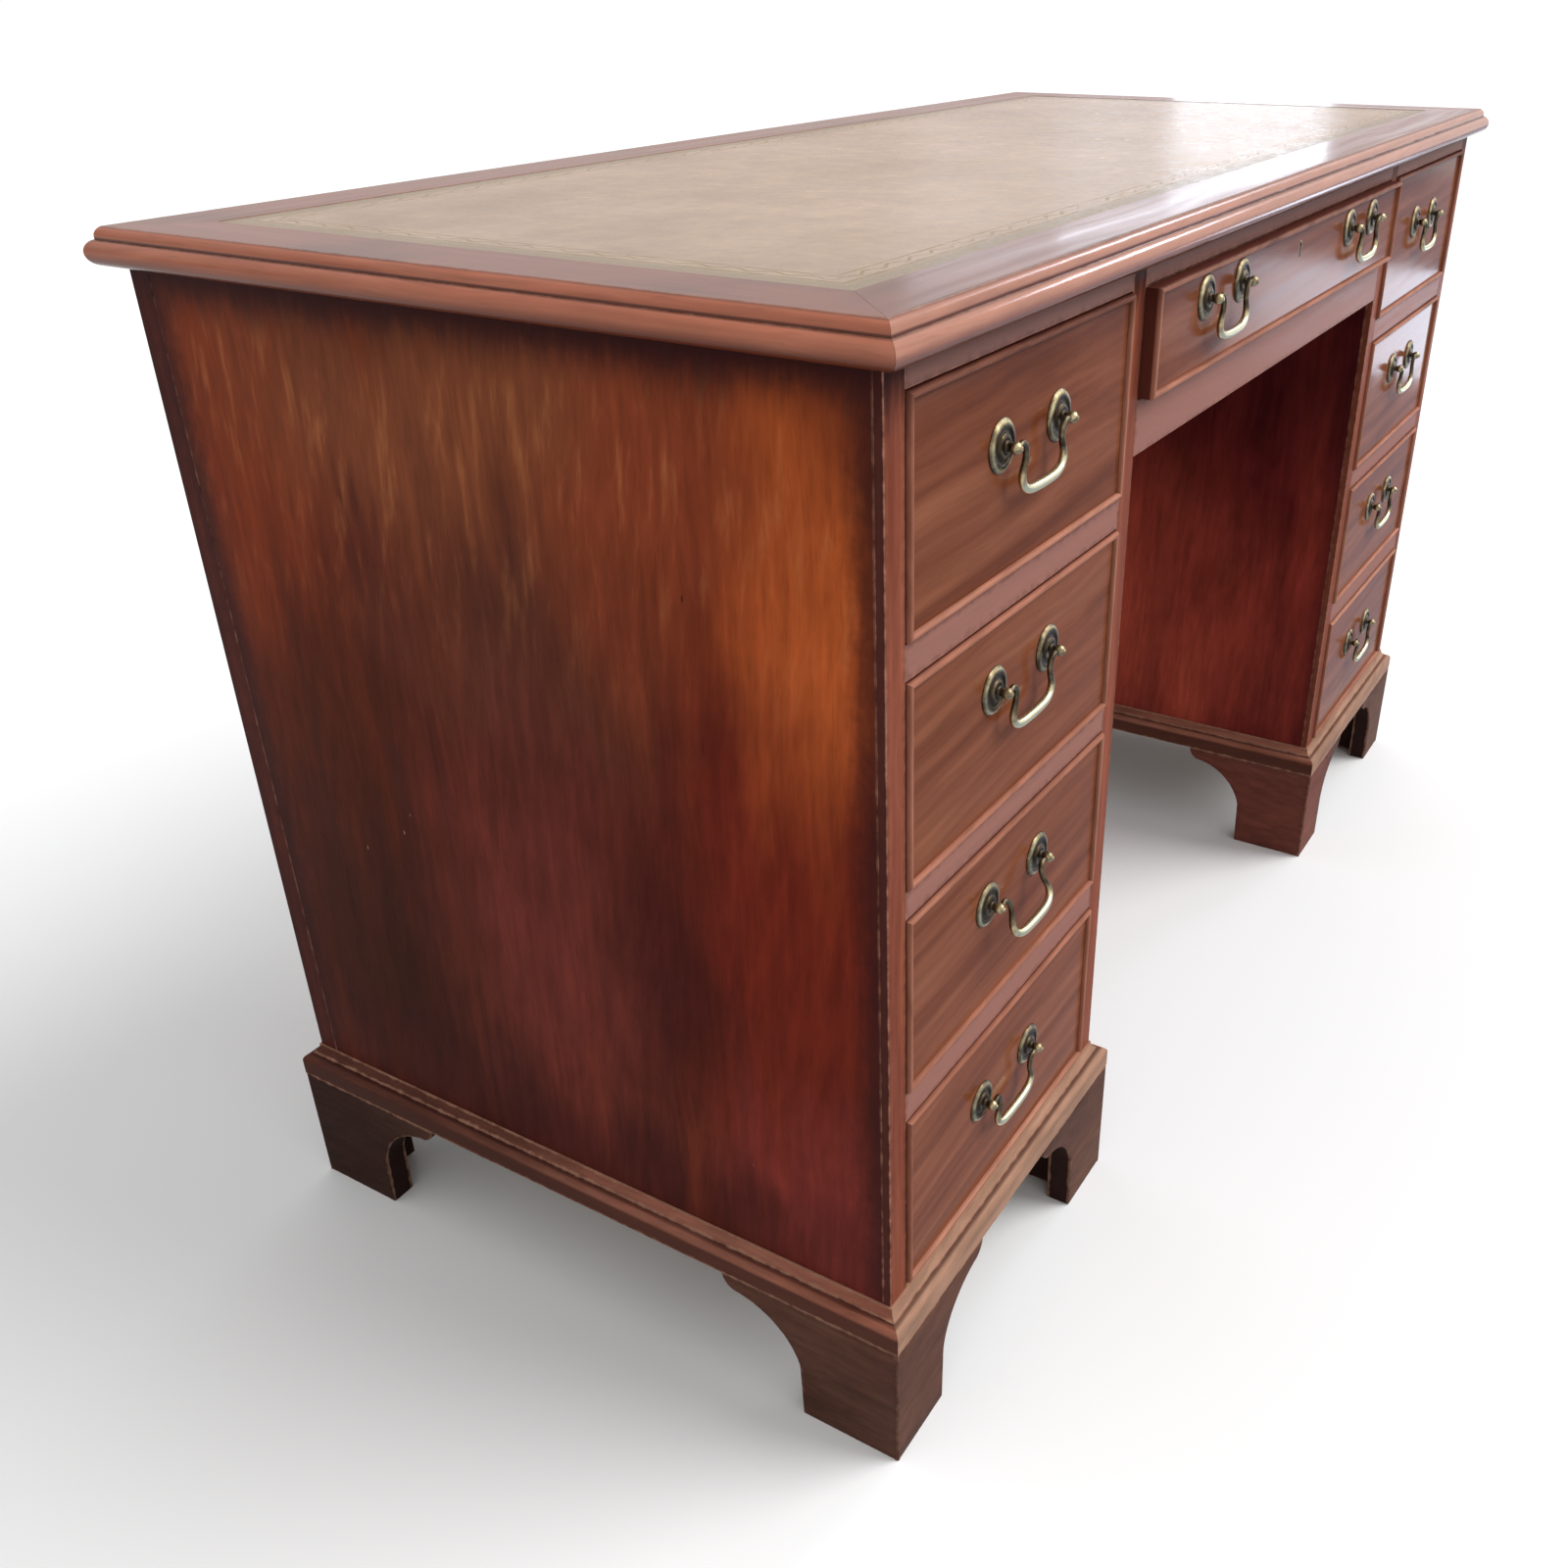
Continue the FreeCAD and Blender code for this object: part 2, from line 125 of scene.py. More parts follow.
def roundedBoard(low, high, ease=0.0008, along=None, steps=3, capAngle=0.1):
    # box with eased edges: a rounded rectangle carried along the longest side and drawn in at both ends by the same
    # quarter round, which stops at the cap's angle and leaves a flat end
    low, high = np.array(low, float), np.array(high, float)
    half = (high - low) / 2 - ease
    a, b, c = np.argsort(-half, kind="stable")
    quarter = np.linspace(0, np.pi / 2, steps + 1)
    angle = (np.arange(4)[:, None] * np.pi / 2 + quarter).ravel()
    corner = np.repeat([[1, 1], [-1, 1], [-1, -1], [1, -1]], steps + 1, axis=0)
    opening = np.linspace(capAngle, np.pi / 2, steps + 1)
    opening = np.concatenate([opening, np.pi - opening[::-1]])[:, None]
    rows, columns = len(opening), len(angle)
    normals, signs = np.empty((2, rows, columns, 3))
    normals[..., a] = -np.cos(opening)
    normals[..., b] = np.sin(opening) * np.cos(angle)
    normals[..., c] = np.sin(opening) * np.sin(angle)
    signs[..., a] = np.repeat([-1, 1], steps + 1)[:, None]
    signs[..., b], signs[..., c] = corner.T
    points = ((low + high) / 2 + signs * half + normals * ease).reshape(-1, 3)
    patch = {"points": points, "faces": [gridFaces(rows, columns)] + endCaps(rows, columns),
        "normals": normals.reshape(-1, 3)}
    return patch | boardMarks(points, low, high, a if along is None else along)


def edgeDistance(profile, corner=0.44):
    # distance along a closed profile from each point to the nearest outside corner of more than 25 degrees
    before, after = profile - np.roll(profile, 1, 0), np.roll(profile, -1, 0) - profile
    turn = np.arctan2(before[:, 0] * after[:, 1] - before[:, 1] * after[:, 0], (before * after).sum(1))
    walked = np.cumsum(np.linalg.norm(before, axis=1))
    total = walked[-1]
    apart = np.abs(walked[:, None] - walked[turn > corner][None])
    return np.minimum(apart, total - apart).min(1)


# Shallow dents of the mouldings: turns per metre of strip, their shift per metre of height, and how they fade
dents = dict(waves=(61, 143, 307, 29), climb=700, level=3, fade=0.004, least=0.1)


def mitredStrips(profile, low, high, place, spacing=0.007, dent=0.0, joint=0.0):
    # closed (outward, up) profile carried along the four sides of a rectangle; an end that is o further out is o
    # longer, which makes the mitre, and shallow dents are sums of sines that only go inwards
    out, up = profile.T
    nearEdge = edgeDistance(profile)
    walked = np.cumsum(np.linalg.norm(profile - np.roll(profile, 1, 0), axis=1))
    fade = np.clip(1 - nearEdge / dents["fade"], dents["least"], 1) * (out > 0)
    (x0, y0), (x1, y1) = low, high
    corners = np.array([[x0, y0], [x1, y0], [x1, y1], [x0, y1]])
    patches = []
    for a, b in zip(corners, np.roll(corners, -1, 0)):
        length = np.linalg.norm(b - a)
        along = (b - a) / length
        away = np.array([along[1], -along[0]])
        rows = max(2, int(length / spacing))
        share = np.linspace(0, 1, rows)[:, None]
        reach = joint - out + share * (length - 2 * joint + 2 * out)
        phase = chance.uniform(0, 6.28, 4)
        wave = sum(np.sin(reach * f + up * dents["climb"] + p) for f, p in zip(dents["waves"], phase))
        sunk = dent * np.clip(wave / dents["level"], 0, 1) * fade
        flat = a + along * reach[..., None] + away * (out - sunk)[..., None]
        zero = np.zeros_like(reach)
        points = place(flat[..., 0], flat[..., 1], zero + up).reshape(-1, 3)
        patches.append({
            "points": points, "faces": [gridFaces(rows, len(out))] + endCaps(rows, len(out)),
            "grain": np.stack([reach, zero + walked, zero], -1).reshape(-1, 3) + chance.uniform(-9, 9, 3),
            "fromMid": np.zeros_like(points), "rise": (zero + up).ravel(), "forward": (zero - away[1]).ravel(),
            "halfSize": np.stack([zero, zero + nearEdge, zero + 1], -1).reshape(-1, 3)})
    return patches


def turned(profile, rub, centre, sides, ring=False):
    # (radius, outward) profile spun round an axis along -Y; a ring's profile closes on itself
    radius, out = profile.T[..., None]
    angle = np.linspace(0, 2 * np.pi, sides, endpoint=False)
    points = np.stack(np.broadcast_arrays(radius * np.cos(angle), -out, radius * np.sin(angle)), -1)
    faces = [gridFaces(len(radius), sides, wrapRows=ring)]
    if not ring:
        faces += endCaps(len(radius), sides)
    return {"points": points.reshape(-1, 3) + centre, "faces": faces, "rub": np.repeat(rub, sides)}


def smoothLine(points, count):
    # natural cubic spline over chord length: bends from the tridiagonal system, none at the two ends
    p = np.array(points, float)
    t = np.concatenate([[0], np.cumsum(np.linalg.norm(np.diff(p[:, :2], axis=0), axis=1))])
    h = np.diff(t)[:, None]
    k = np.arange(1, len(p) - 1)
    matrix = np.eye(len(p))
    matrix[k, k - 1], matrix[k, k], matrix[k, k + 1] = h[:-1, 0], 2 * (h[:-1, 0] + h[1:, 0]), h[1:, 0]
    given = np.zeros_like(p)
    given[1:-1] = 6 * np.diff(np.diff(p, axis=0) / h, axis=0)
    bend = np.linalg.solve(matrix, given)
    at = np.linspace(0, t[-1], count)
    i = np.clip(np.searchsorted(t, at, side="right") - 1, 0, len(h) - 1)
    b = (at - t[i])[:, None] / h[i]
    a = 1 - b
    return a * p[i] + b * p[i + 1] + ((a ** 3 - a) * bend[i] + (b ** 3 - b) * bend[i + 1]) * h[i] ** 2 / 6


def tube(line, radius, rub, sides=24):
    # round bar: at each point of a line in the XZ plane a circle stands across its direction
    tangent = np.gradient(line, axis=0)
    tangent /= np.linalg.norm(tangent, axis=1)[:, None]
    across = np.stack([-tangent[:, 2], 0 * tangent[:, 0], tangent[:, 0]], 1)
    angle = np.linspace(0, 2 * np.pi, sides, endpoint=False)[None, :, None]
    circle = across[:, None] * np.cos(angle) + np.array([0, 1, 0]) * np.sin(angle)
    points = line[:, None] + radius[:, None, None] * circle
    return {"points": points.reshape(-1, 3), "faces": [gridFaces(len(line), sides)] + endCaps(len(line), sides),
            "rub": np.repeat(rub, sides)}


def outwards(patch):
    # volume from the fan of triangles of every face; a negative one means that the faces point inwards
    p = patch["points"]
    volume = sum(np.einsum("ij,ij->", p[f[:, 0]], np.cross(p[f[:, k]], p[f[:, k + 1]]))
        for f in patch["faces"] for k in range(1, f.shape[1] - 1))
    if volume < 0:
        patch["faces"] = [f[:, ::-1] for f in patch["faces"]]
    return patch


def linkObject(name, data):
    thing = bpy.data.objects.new(name, data)
    bpy.context.scene.collection.objects.link(thing)
    return thing


def makePiece(name, patches, finish, body, slot, *nodes, sharp=0.6):
    # joins patches into one mesh with the attributes of the first, in place of the CAD nodes
    patches = [outwards(patch) for patch in patches]
    starts = np.cumsum([0] + [len(patch["points"]) for patch in patches])
    faces = [corners for patch, start in zip(patches, starts) for group in patch["faces"]
        for corners in (group + start).tolist()]
    joined = {key: np.concatenate([patch[key] for patch in patches]) for key in patches[0] if key != "faces"}
    mesh = bpy.data.meshes.new(name)
    mesh.from_pydata(joined.pop("points").tolist(), [], faces)
    mesh.polygons.foreach_set("use_smooth", np.ones(len(faces), bool))
    normals = joined.pop("normals", None)
    for key, values in joined.items():
        kind, field = ("FLOAT_VECTOR", "vector") if values.ndim == 2 else ("FLOAT", "value")
        mesh.attributes.new(key, kind, "POINT").data.foreach_set(field, values.astype(np.float32).ravel())
    if normals is None:
        mesh.set_sharp_from_angle(angle=sharp)
    else:
        mesh.normals_split_custom_set_from_vertices(normals.tolist())
    mesh.materials.append(finishes[finish])
    piece = linkObject(name, mesh)
    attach(piece, body)
    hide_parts(*nodes)


# Materials

rgba = dict(out=2, data_type="RGBA")  # settings of a Mix of colours
smooth = dict(interpolation_type="SMOOTHSTEP")  # and of a soft MapRange


def linear(hexColour):
    # sRGB hex to linear light
    c = np.array([int(hexColour[k:k + 2], 16) for k in (1, 3, 5)]) / 255
    return (*np.where(c <= 0.04045, c / 12.92, ((c + 0.055) / 1.055) ** 2.4).tolist(), 1.0)


def addNode(tree, kind, inputs=(), out=0, stops=(), **settings):
    # one node, its operation named after its kind, with its settings, its ramp's stops and its inputs, each a value, a
    # hex colour or another node's output, in the order of the sockets or keyed by socket: a Mix of colours has its
    # factor at 0 and the colours at 6 and 7, a MapRange takes a value, the two ends it is read between and the two ends
    # it comes out between
    kind, *operation = kind.split()
    node = tree.nodes.new("ShaderNode" + kind)
    if operation:
        node.operation = operation[0]
    for key, value in settings.items():
        setattr(node, key, value)
    if stops:
        elements = node.color_ramp.elements
        while len(elements) < len(stops):
            elements.new(0.5)
        for element, (place, colour) in zip(elements, stops):
            element.position, element.color = place, linear(colour)
    for key, value in inputs.items() if isinstance(inputs, dict) else enumerate(inputs):
        if isinstance(value, bpy.types.NodeSocket):
            tree.links.new(value, node.inputs[key])
        else:
            node.inputs[key].default_value = linear(value) if isinstance(value, str) else value
    return node.outputs[out] if len(node.outputs) else node


def newMaterial(name):
    material = bpy.data.materials.new(name)
    material.use_nodes = True
    material.node_tree.nodes.clear()
    return material, partial(addNode, material.node_tree)


def surface(material, add, look, relief, colour, rough, more):
    # the bump, the shader and the output that every finish ends with
    normal = add("Bump", {"Height": relief, "Strength": look["bump"], "Distance": look["bumpDepth"]})
    base = {"Base Color": colour, "Roughness": rough, "Normal": normal}
    add("OutputMaterial", [add("BsdfPrincipled", base | more)])
    return material


def polishedMahogany(name, look):
    # Mahogany, planed, stained and french polished, now old: long soft bands and fine dark pores along the grain, short
    # flecks that lean across it, some painted pale as glints, lighter and darker patches, some of them painted light
    # and painted shade, dirt and bare wood at the edges, painted shade under the top, under rounds and on sunk faces,
    # and a painted sheen on the runs that face the front.
    # Pores are really 0.2 mm wide and are drawn about 1 mm wide so that they show. Sizes are in metres.
    material, add = newMaterial(name)
    place = add("TexCoord", out=3)
    split = add("SeparateXYZ", [place]).node.outputs
    across, height = split["X"], split["Z"]
    if look["edges"]:
        grain = add("Attribute", out=1, attribute_name="grain")
    else:
        grain = add("Mapping", {0: place, "Rotation": look["turn"]})
    wander = add("VectorMath MULTIPLY", [grain, look["wanderScale"]])
    wander = add("TexNoise", {"Vector": wander, "Scale": 1, "Detail": 2}, out=1)
    aside = np.array([0, look["wander"], look["wander"]])
    wander = add("VectorMath MULTIPLY_ADD", [wander, aside, -aside / 2])
    fibre = add("VectorMath ADD", [grain, wander])
    figure = {}
    for key, lean, detail in (("band", 0, 4), ("fleck", look["lean"], 3), ("streak", 0, 3), ("pore", 0, 2)):
        length, width = look[key]
        shape = {"Rotation": (0, lean, lean), "Scale": (length, width, width)}
        shrunk = add("Mapping", {0: fibre} | shape, vector_type="TEXTURE")
        figure[key] = add("TexNoise", {"Vector": shrunk, "Scale": 1, "Detail": detail, "Roughness": 0.55})
    band, fleck = figure["band"], figure["fleck"]
    pore = add("MapRange", [figure["pore"], *look["poreCut"]])
    cloud = add("TexNoise", {"Vector": place, "Scale": 1 / look["cloudSize"], "Detail": 4, "Roughness": 0.6})
    colour = add("ValToRGB", [band], stops=look["stops"])
    faded = add("MapRange", [cloud, *look["cloudCut"], 0, look["cloud"]])
    layers = [(faded, look["cloudColour"])]
    # patches are ellipsoids whose outlines drift and are pulled along the upright grain
    stray = add("TexNoise", {"Vector": place, "Scale": look["driftScale"], "Detail": 4}, out=1)
    stray = add("VectorMath MULTIPLY_ADD", [stray, [look["drift"]] * 3, [-look["drift"] / 2] * 3])
    stray = add("VectorMath ADD", [place, stray])
    pull = add("Math MULTIPLY_ADD", [band, look["pull"], -look["pull"] / 2])
    drifted = add("VectorMath ADD", [stray, add("CombineXYZ", {2: pull})])
    for centre, size, tint, strength in look["patches"]:
        near = add("VectorMath SUBTRACT", [drifted, centre])
        near = add("VectorMath MULTIPLY", [near, [1 / s for s in size]])
        near = add("VectorMath LENGTH", [near], out=1)
        near = add("MapRange", [near, 1, look["patchCore"], 0, strength], **smooth)
        layers.append((near, tint))
    # painted glints: pale flecks over a band of height
    if look["paleFlecks"]:
        high = add("MapRange", [height, *look["paleHeight"], 0, look["paleFlecks"]], **smooth)
        pale = add("MapRange", [fleck, *look["paleCut"]])
        pale = add("Math MULTIPLY", [pale, high])
        layers.append((pale, look["fleckColour"]))
    # painted sheen: the runs that face the front take a lighter tint
    if look["frontTint"]:
        forward = add("Attribute", out=2, attribute_name="forward")
        layers.append((forward, look["frontTint"]))
    if look["flat"]:
        # the level face of the top, tinted darker and darker still in places
        flat = look["flat"]
        level = add("MapRange", [height, *(desk["height"] - below for below in flat["below"]), 0, flat["share"]])
        stain = add("TexNoise", {"Vector": place, "Scale": flat["stainScale"], "Detail": 3})
        stain = add("MapRange", [stain, *flat["stainCut"]], **smooth)
        tint = add("Mix", {0: stain, 6: flat["tint"], 7: flat["stain"]}, **rgba)
        layers.append((level, tint))
    for mask, tint in layers:
        colour = add("Mix", {0: mask, 6: colour, 7: tint}, **rgba)
    lively = add("Math MULTIPLY_ADD", [cloud, look["mottle"], 1 - look["mottle"] / 2])
    for source, share in ((fleck, look["lively"]), (figure["streak"], look["streaky"])):
        swing = add("MapRange", [source, *look["contrast"], 1 - share, 1 + share])
        lively = add("Math MULTIPLY", [lively, swing])
    colour = add("HueSaturation", {"Color": colour, "Value": lively})
    dark = add("Math MULTIPLY", [pore, look["pores"]])
    layers = [(dark, look["poreColour"])]
    if look["underTop"]:
        # painted shade: a dark band under the overhang of the top, ragged along the grain
        ragged = add("Math SUBTRACT", [height, look["ragged"] / 2])
        ragged = add("Math MULTIPLY_ADD", [fleck, look["ragged"], ragged])
        ends = [desk["underTop"] - below for below in (look["underTop"], look["underFull"])]
        shaded = add("MapRange", [ragged, *ends, 0, look["underDark"]], **smooth)
        layers.append((shaded, look["dirtColour"]))
    if look["flank"]:
        # the outer faces of the end stiles
        tint, share, *skin = look["flank"]
        outer = add("Math ABSOLUTE", [across])
        outer = add("MapRange", [outer, *(right - inside for inside in skin), 0, share])
        layers.append((outer, tint))
    if look["lower"]:
        # painted shade: the underside of a round is darkened, on some pieces not along the front run
        bottom, top, tint, share = look["lower"]
        undersideShade = add("MapRange", [height, top, bottom, 0, share], **smooth)
        if look["cleanFront"]:
            kept = add("Attribute", out=2, attribute_name="forward")
            kept = add("MapRange", [kept, 0, 1, 1, 0])
            undersideShade = add("Math MULTIPLY", [undersideShade, kept])
        layers.append((undersideShade, tint))
    for level, reach, core, share in look["quirks"]:
        # darker colour in the sunk line between two mouldings
        line = add("Math SUBTRACT", [height, level])
        line = add("Math ABSOLUTE", [line])
        line = add("MapRange", [line, reach, core, 0, share])
        layers.append((line, look["dirtColour"]))
    if look["deep"]:
        # painted shade on the sawn rims and glue blocks of the feet and on the sides of the beads, where the piece's
        # own rise is below its face
        tint, share, step = look["deep"]
        sunk = add("Attribute", out=2, attribute_name="rise")
        sunk = add("MapRange", [sunk, step, -step, 0, share])
        layers.append((sunk, tint))
    rough = add("MapRange", [band, *look["contrast"], *(look["rough"] + more for more in look["roughSpread"])])
    relief = add("Math MULTIPLY", [fleck, look["fleckRelief"]])
    relief = add("Math MULTIPLY_ADD", [pore, -1, relief])
    if look["edges"]:
        away = add("Attribute", out=1, attribute_name="fromMid")
        half = add("Attribute", out=1, attribute_name="halfSize")
        if look["rail"]:
            # boards that lie across the front are tinted paler and greyer than the upright ones
            tint, share, *halves = look["rail"]
            level = add("MapRange", [add("SeparateXYZ", [half]), *halves, 0, share])
            layers.append((level, tint))
        gap = add("VectorMath ABSOLUTE", [away])
        gap = add("VectorMath SUBTRACT", [half, gap])
        x, y, z = add("SeparateXYZ", [gap]).node.outputs
        # the second smallest of the three distances to the faces is the distance to the nearest edge
        low = add("Math MINIMUM", [x, y])
        high = add("Math MAXIMUM", [x, y])
        high = add("Math MINIMUM", [high, z])
        edge = add("Math MAXIMUM", [low, high])
        scuff = add("TexNoise", {"Vector": place, "Scale": look["scuffScale"], "Detail": 4})
        middle = look["scuff"] / 2
        broad = add("Math MULTIPLY_ADD", [scuff, look["scuff"], edge])
        broad = add("MapRange", [broad, look["dirtWidth"] + middle, middle, 0, look["dirt"]], **smooth)
        layers.append((broad, look["dirtColour"]))
        jitter, start, full = (-look["wearWidth"] * share for share in look["wearSpread"])
        bare = add("Math MULTIPLY_ADD", [scuff, jitter, edge])
        bare = add("MapRange", [bare, start, full, 0, look["wear"]])
        layers.append((bare, look["wearColour"]))
        rough = add("Math MULTIPLY_ADD", [bare, look["wearRough"], rough])
    for tint, (length, width), strength in look["nicks"]:
        # scattered nicks a few millimetres long, kept only where a slow noise is high
        nick = add("VectorMath MULTIPLY", [grain, (1 / length, 1 / width, 1 / width)])
        nick = add("TexVoronoi", {"Vector": nick, "Scale": look["nickScale"], "Randomness": 1}, feature="F1")
        nick = add("MapRange", [nick, *look["nickCut"]])
        keep = add("TexNoise", {"Vector": grain, "Scale": look["keepScale"], "Detail": 1})
        keep = add("MapRange", [keep, *look["keepCut"], 0, strength])
        nick = add("Math MULTIPLY", [nick, keep])
        layers.append((nick, tint))
    for mask, tint in layers:
        colour = add("Mix", {0: mask, 6: colour, 7: tint}, **rgba)
    return surface(material, add, look, relief, colour, rough, {"IOR": 1.5, "Specular IOR Level": look["specular"]})


# What every mahogany finish starts from; a figure has a length and a width, a Cut the two ends a noise is read between
woodLook = dict(
    edges=True, band=(0.45, 0.03), fleck=(0.07, 0.009), streak=(0.24, 0.005), pore=(0.022, 0.0016),
    lean=0.12, wanderScale=(5, 16, 16), wander=0.02,
    stops=[(0.30, "#471E16"), (0.48, "#5E281C"), (0.60, "#72321F"), (0.75, "#884024")],
    lively=0.17, streaky=0.1, mottle=0.75, contrast=(0.3, 0.7),
    pores=0.14, poreCut=(0.56, 0.72), poreColour="#1E0F0A",
    cloud=0.5, cloudSize=0.11, cloudCut=(0.42, 0.66), cloudColour="#6C3020",
    patches=[], patchCore=0.1, drift=0.1, driftScale=9, pull=0.16,
    paleFlecks=0.0, paleCut=(0.55, 0.74), paleHeight=(0.5, 0.66), fleckColour="#B07044",
    dirt=0.75, dirtWidth=0.022, dirtColour="#391A1A", scuff=0.014, scuffScale=130,
    wear=0.5, wearWidth=0.0007, wearSpread=(3, 0.4, 1.6), wearColour="#B98872", wearRough=0.2,
    # painted shade under the top: how far below it the band begins, where it is full, and how dark it is
    underTop=0.0, underFull=0.001, underDark=0.85, ragged=0.05,
    nicks=[], nickScale=0.05, nickCut=(0.036, 0.024), keepScale=11, keepCut=(0.61, 0.66),
    rough=0.34, roughSpread=(-0.05, 0.06), specular=0.03,
    bump=0.15, bumpDepth=0.0006, fleckRelief=0.5,
    # what only some pieces have
    frontTint=None, cleanFront=False, flank=None, flat=None, lower=None, quirks=[], deep=None,
    rail=None,
)
# the sides are darkened under the top as painted shade
sideLook = dict(underTop=0.035, nicks=[("#2A120C", (0.004, 0.0012), 0.8)])

# Faded and dark places of the left side: millimetres behind the front and up, half depth and height, tint and strength
sidePatches = [
    (480, 640, 0.13, 0.20, "#8A3A1E", 0.85), (300, 680, 0.26, 0.13, "#905033", 0.85),
    (430, 470, 0.18, 0.16, "#56220F", 0.75), (250, 540, 0.17, 0.13, "#663627", 0.80),
    (140, 630, 0.11, 0.15, "#96452A", 0.80), (430, 280, 0.20, 0.26, "#401C11", 0.90),
    (260, 330, 0.17, 0.26, "#74332C", 0.80), (150, 360, 0.09, 0.20, "#451613", 0.75),
    (60, 400, 0.11, 0.34, "#7E2A1B", 0.85), (50, 620, 0.07, 0.20, "#C6602F", 0.90),
    (60, 180, 0.12, 0.13, "#923A34", 0.75), (270, 150, 0.40, 0.09, "#441A18", 0.80)]
woods = {
    "leftSide": ("mahoganySideFaded", sideLook | dict(
        paleFlecks=0.4, nicks=sideLook["nicks"] + [("#C9A08A", (0.003, 0.0009), 0.6)],
        patches=[((left, desk["front"] + y * 0.001, z * 0.001), (0.4, deep, high), tint, strength)
            for y, z, deep, high, tint, strength in sidePatches])),
    "side": ("mahoganySide", sideLook),
    "kneehole": ("mahoganyKneehole", dict(
        stops=[(0.30, "#4A1517"), (0.46, "#692421"), (0.58, "#8C342A"), (0.74, "#AC4A37")],
        cloudColour="#7C2C26", band=(0.3, 0.05), dirt=0.4, dirtColour="#3E1617", mottle=0.9,
        # the first and last patches are painted shade at the tops of the kneehole sides under the top; the middle one
        # is painted light on the lower part of the right side
        patches=[((0.3, 0.0, 0.6), (0.4, 0.7, 0.26), "#4C191D", 0.85),
            ((0.3, 0.12, 0.24), (0.4, 0.45, 0.28), "#CC5C47", 0.7),
            ((-0.3, 0.0, 0.6), (0.4, 0.7, 0.26), "#4C191D", 0.85)])),
    "frame": ("mahoganyFrame", dict(
        stops=[(0.30, "#723A2B"), (0.5, "#884A36"), (0.75, "#9C5B45")], cloudColour="#844C3E",
        fleck=(0.06, 0.006), band=(0.4, 0.01), dirt=0.25, dirtWidth=0.004, dirtColour="#3A1F1D",
        # underTop: painted shade on the top rail and the stiles under the top
        wear=0.9, lively=0.06, mottle=0.25, specular=0.015, underTop=0.04, underDark=0.97,
        flank=("#4A2624", 0.85, 0.0008, 0.0003), rail=("#A27970", 0.62, 0.02, 0.05))),
    "top": ("mahoganyTopMoulding", dict(
        stops=[(0.30, "#A45840"), (0.5, "#B86E53"), (0.75, "#C68066")], cloudColour="#AC664E",
        fleck=(0.06, 0.008), band=(0.4, 0.012), dirt=0.0, dirtColour="#431B13",
        wear=0.3, wearColour="#CDA089", rough=0.17, bump=0.02, specular=0.2,
        # the lighter front tint is a painted sheen on the front run of the moulding
        pores=0.12, lively=0.07, streaky=0.12, mottle=0.2, frontTint="#AE7864",
        flat=dict(tint="#704438", stain="#4E312E", stainScale=8, stainCut=(0.5, 0.7),
            below=(0.0012, 0.0002), share=0.9),
        # lower: painted shade on the underside of the torus
        lower=(0.743, 0.753, "#5A2414", 0.85), quirks=[(0.7578, 0.0013, 0.00052, 0.8)])),
    "plinth": ("mahoganyPlinthWorn", dict(
        stops=[(0.30, "#86503F"), (0.5, "#9A6250"), (0.75, "#AE7664")], cloudColour="#8E5C4C",
        fleck=(0.05, 0.008), band=(0.3, 0.012), dirt=0.0,
        # the lighter front tint is a painted sheen on the front run, with some wear
        wear=0.9, wearWidth=0.0016, wearColour="#A87C66", rough=0.42, frontTint="#9C7762",
        # lower: painted shade on the underside of the round, left off the front run
        lower=(0.1185, 0.1215, "#4C2C24", 0.85), cleanFront=True, quirks=[(0.1253, 0.0013, 0.00052, 0.8)],
        # patch: painted shade on the left run, deepest towards the back
        patches=[((left - 0.01, 0.24, 0.12), (0.3, 0.42, 0.5), "#4A2A22", 0.9)])),
    "foot": ("mahoganyFootScuffed", dict(
        stops=[(0.30, "#4A2F27"), (0.5, "#5C3D32"), (0.75, "#6E4B3D")], cloudColour="#62463A",
        fleck=(0.03, 0.007), dirt=0.2, dirtWidth=0.006, wear=0.9, wearWidth=0.0016,
        # deep: painted shade on the sawn rims and the glue blocks
        wearColour="#967260", rough=0.5, bump=0.4, mottle=0.35, deep=("#2B1C1A", 0.9, 0.0006),
        # patches: painted shade on the rear left foot and painted light on the right pedestal's front foot at the
        # kneehole
        patches=[((left - 0.01, 0.3, 0.05), (0.2, 0.34, 0.3), "#2E1A16", 0.9),
            ((0.3, -0.2, 0.05), (0.1, 0.3, 0.3), "#7C443B", 0.8)])),
    "bead": ("mahoganyCockbead", dict(
        stops=[(0.30, "#8F5A47"), (0.5, "#A56E59"), (0.75, "#BA856F")], cloudColour="#9A6654",
        fleck=(0.05, 0.006), dirt=0.0, wear=0.8, wearWidth=0.0009,
        # underTop and deep: painted shade under the top and on the sides of the beads
        wearColour="#DDB8A0", specular=0.02, underTop=0.04, deep=("#55261F", 0.9, 0.0006))),
    "front": ("mahoganyDrawerFront", dict(
        edges=False, turn=(0, 0.05, 0), band=(0.5, 0.016), fleck=(0.09, 0.006), lean=0.03,
        stops=[(0.30, "#683722"), (0.48, "#7B462E"), (0.62, "#885239"), (0.78, "#986246")],
        cloudSize=0.2, cloud=0.4, cloudColour="#844F3A", dirtColour="#462624", specular=0.035,
        # underTop: painted shade on the upper part of the drawer fronts under the top
        rough=0.13, bump=0.02, pores=0.1, lively=0.06, mottle=0.16, underTop=0.05, underDark=0.7)),
}
finishes = {kind: polishedMahogany(name, woodLook | look) for kind, (name, look) in woods.items()}
print("mahogany finishes made:", len(finishes))


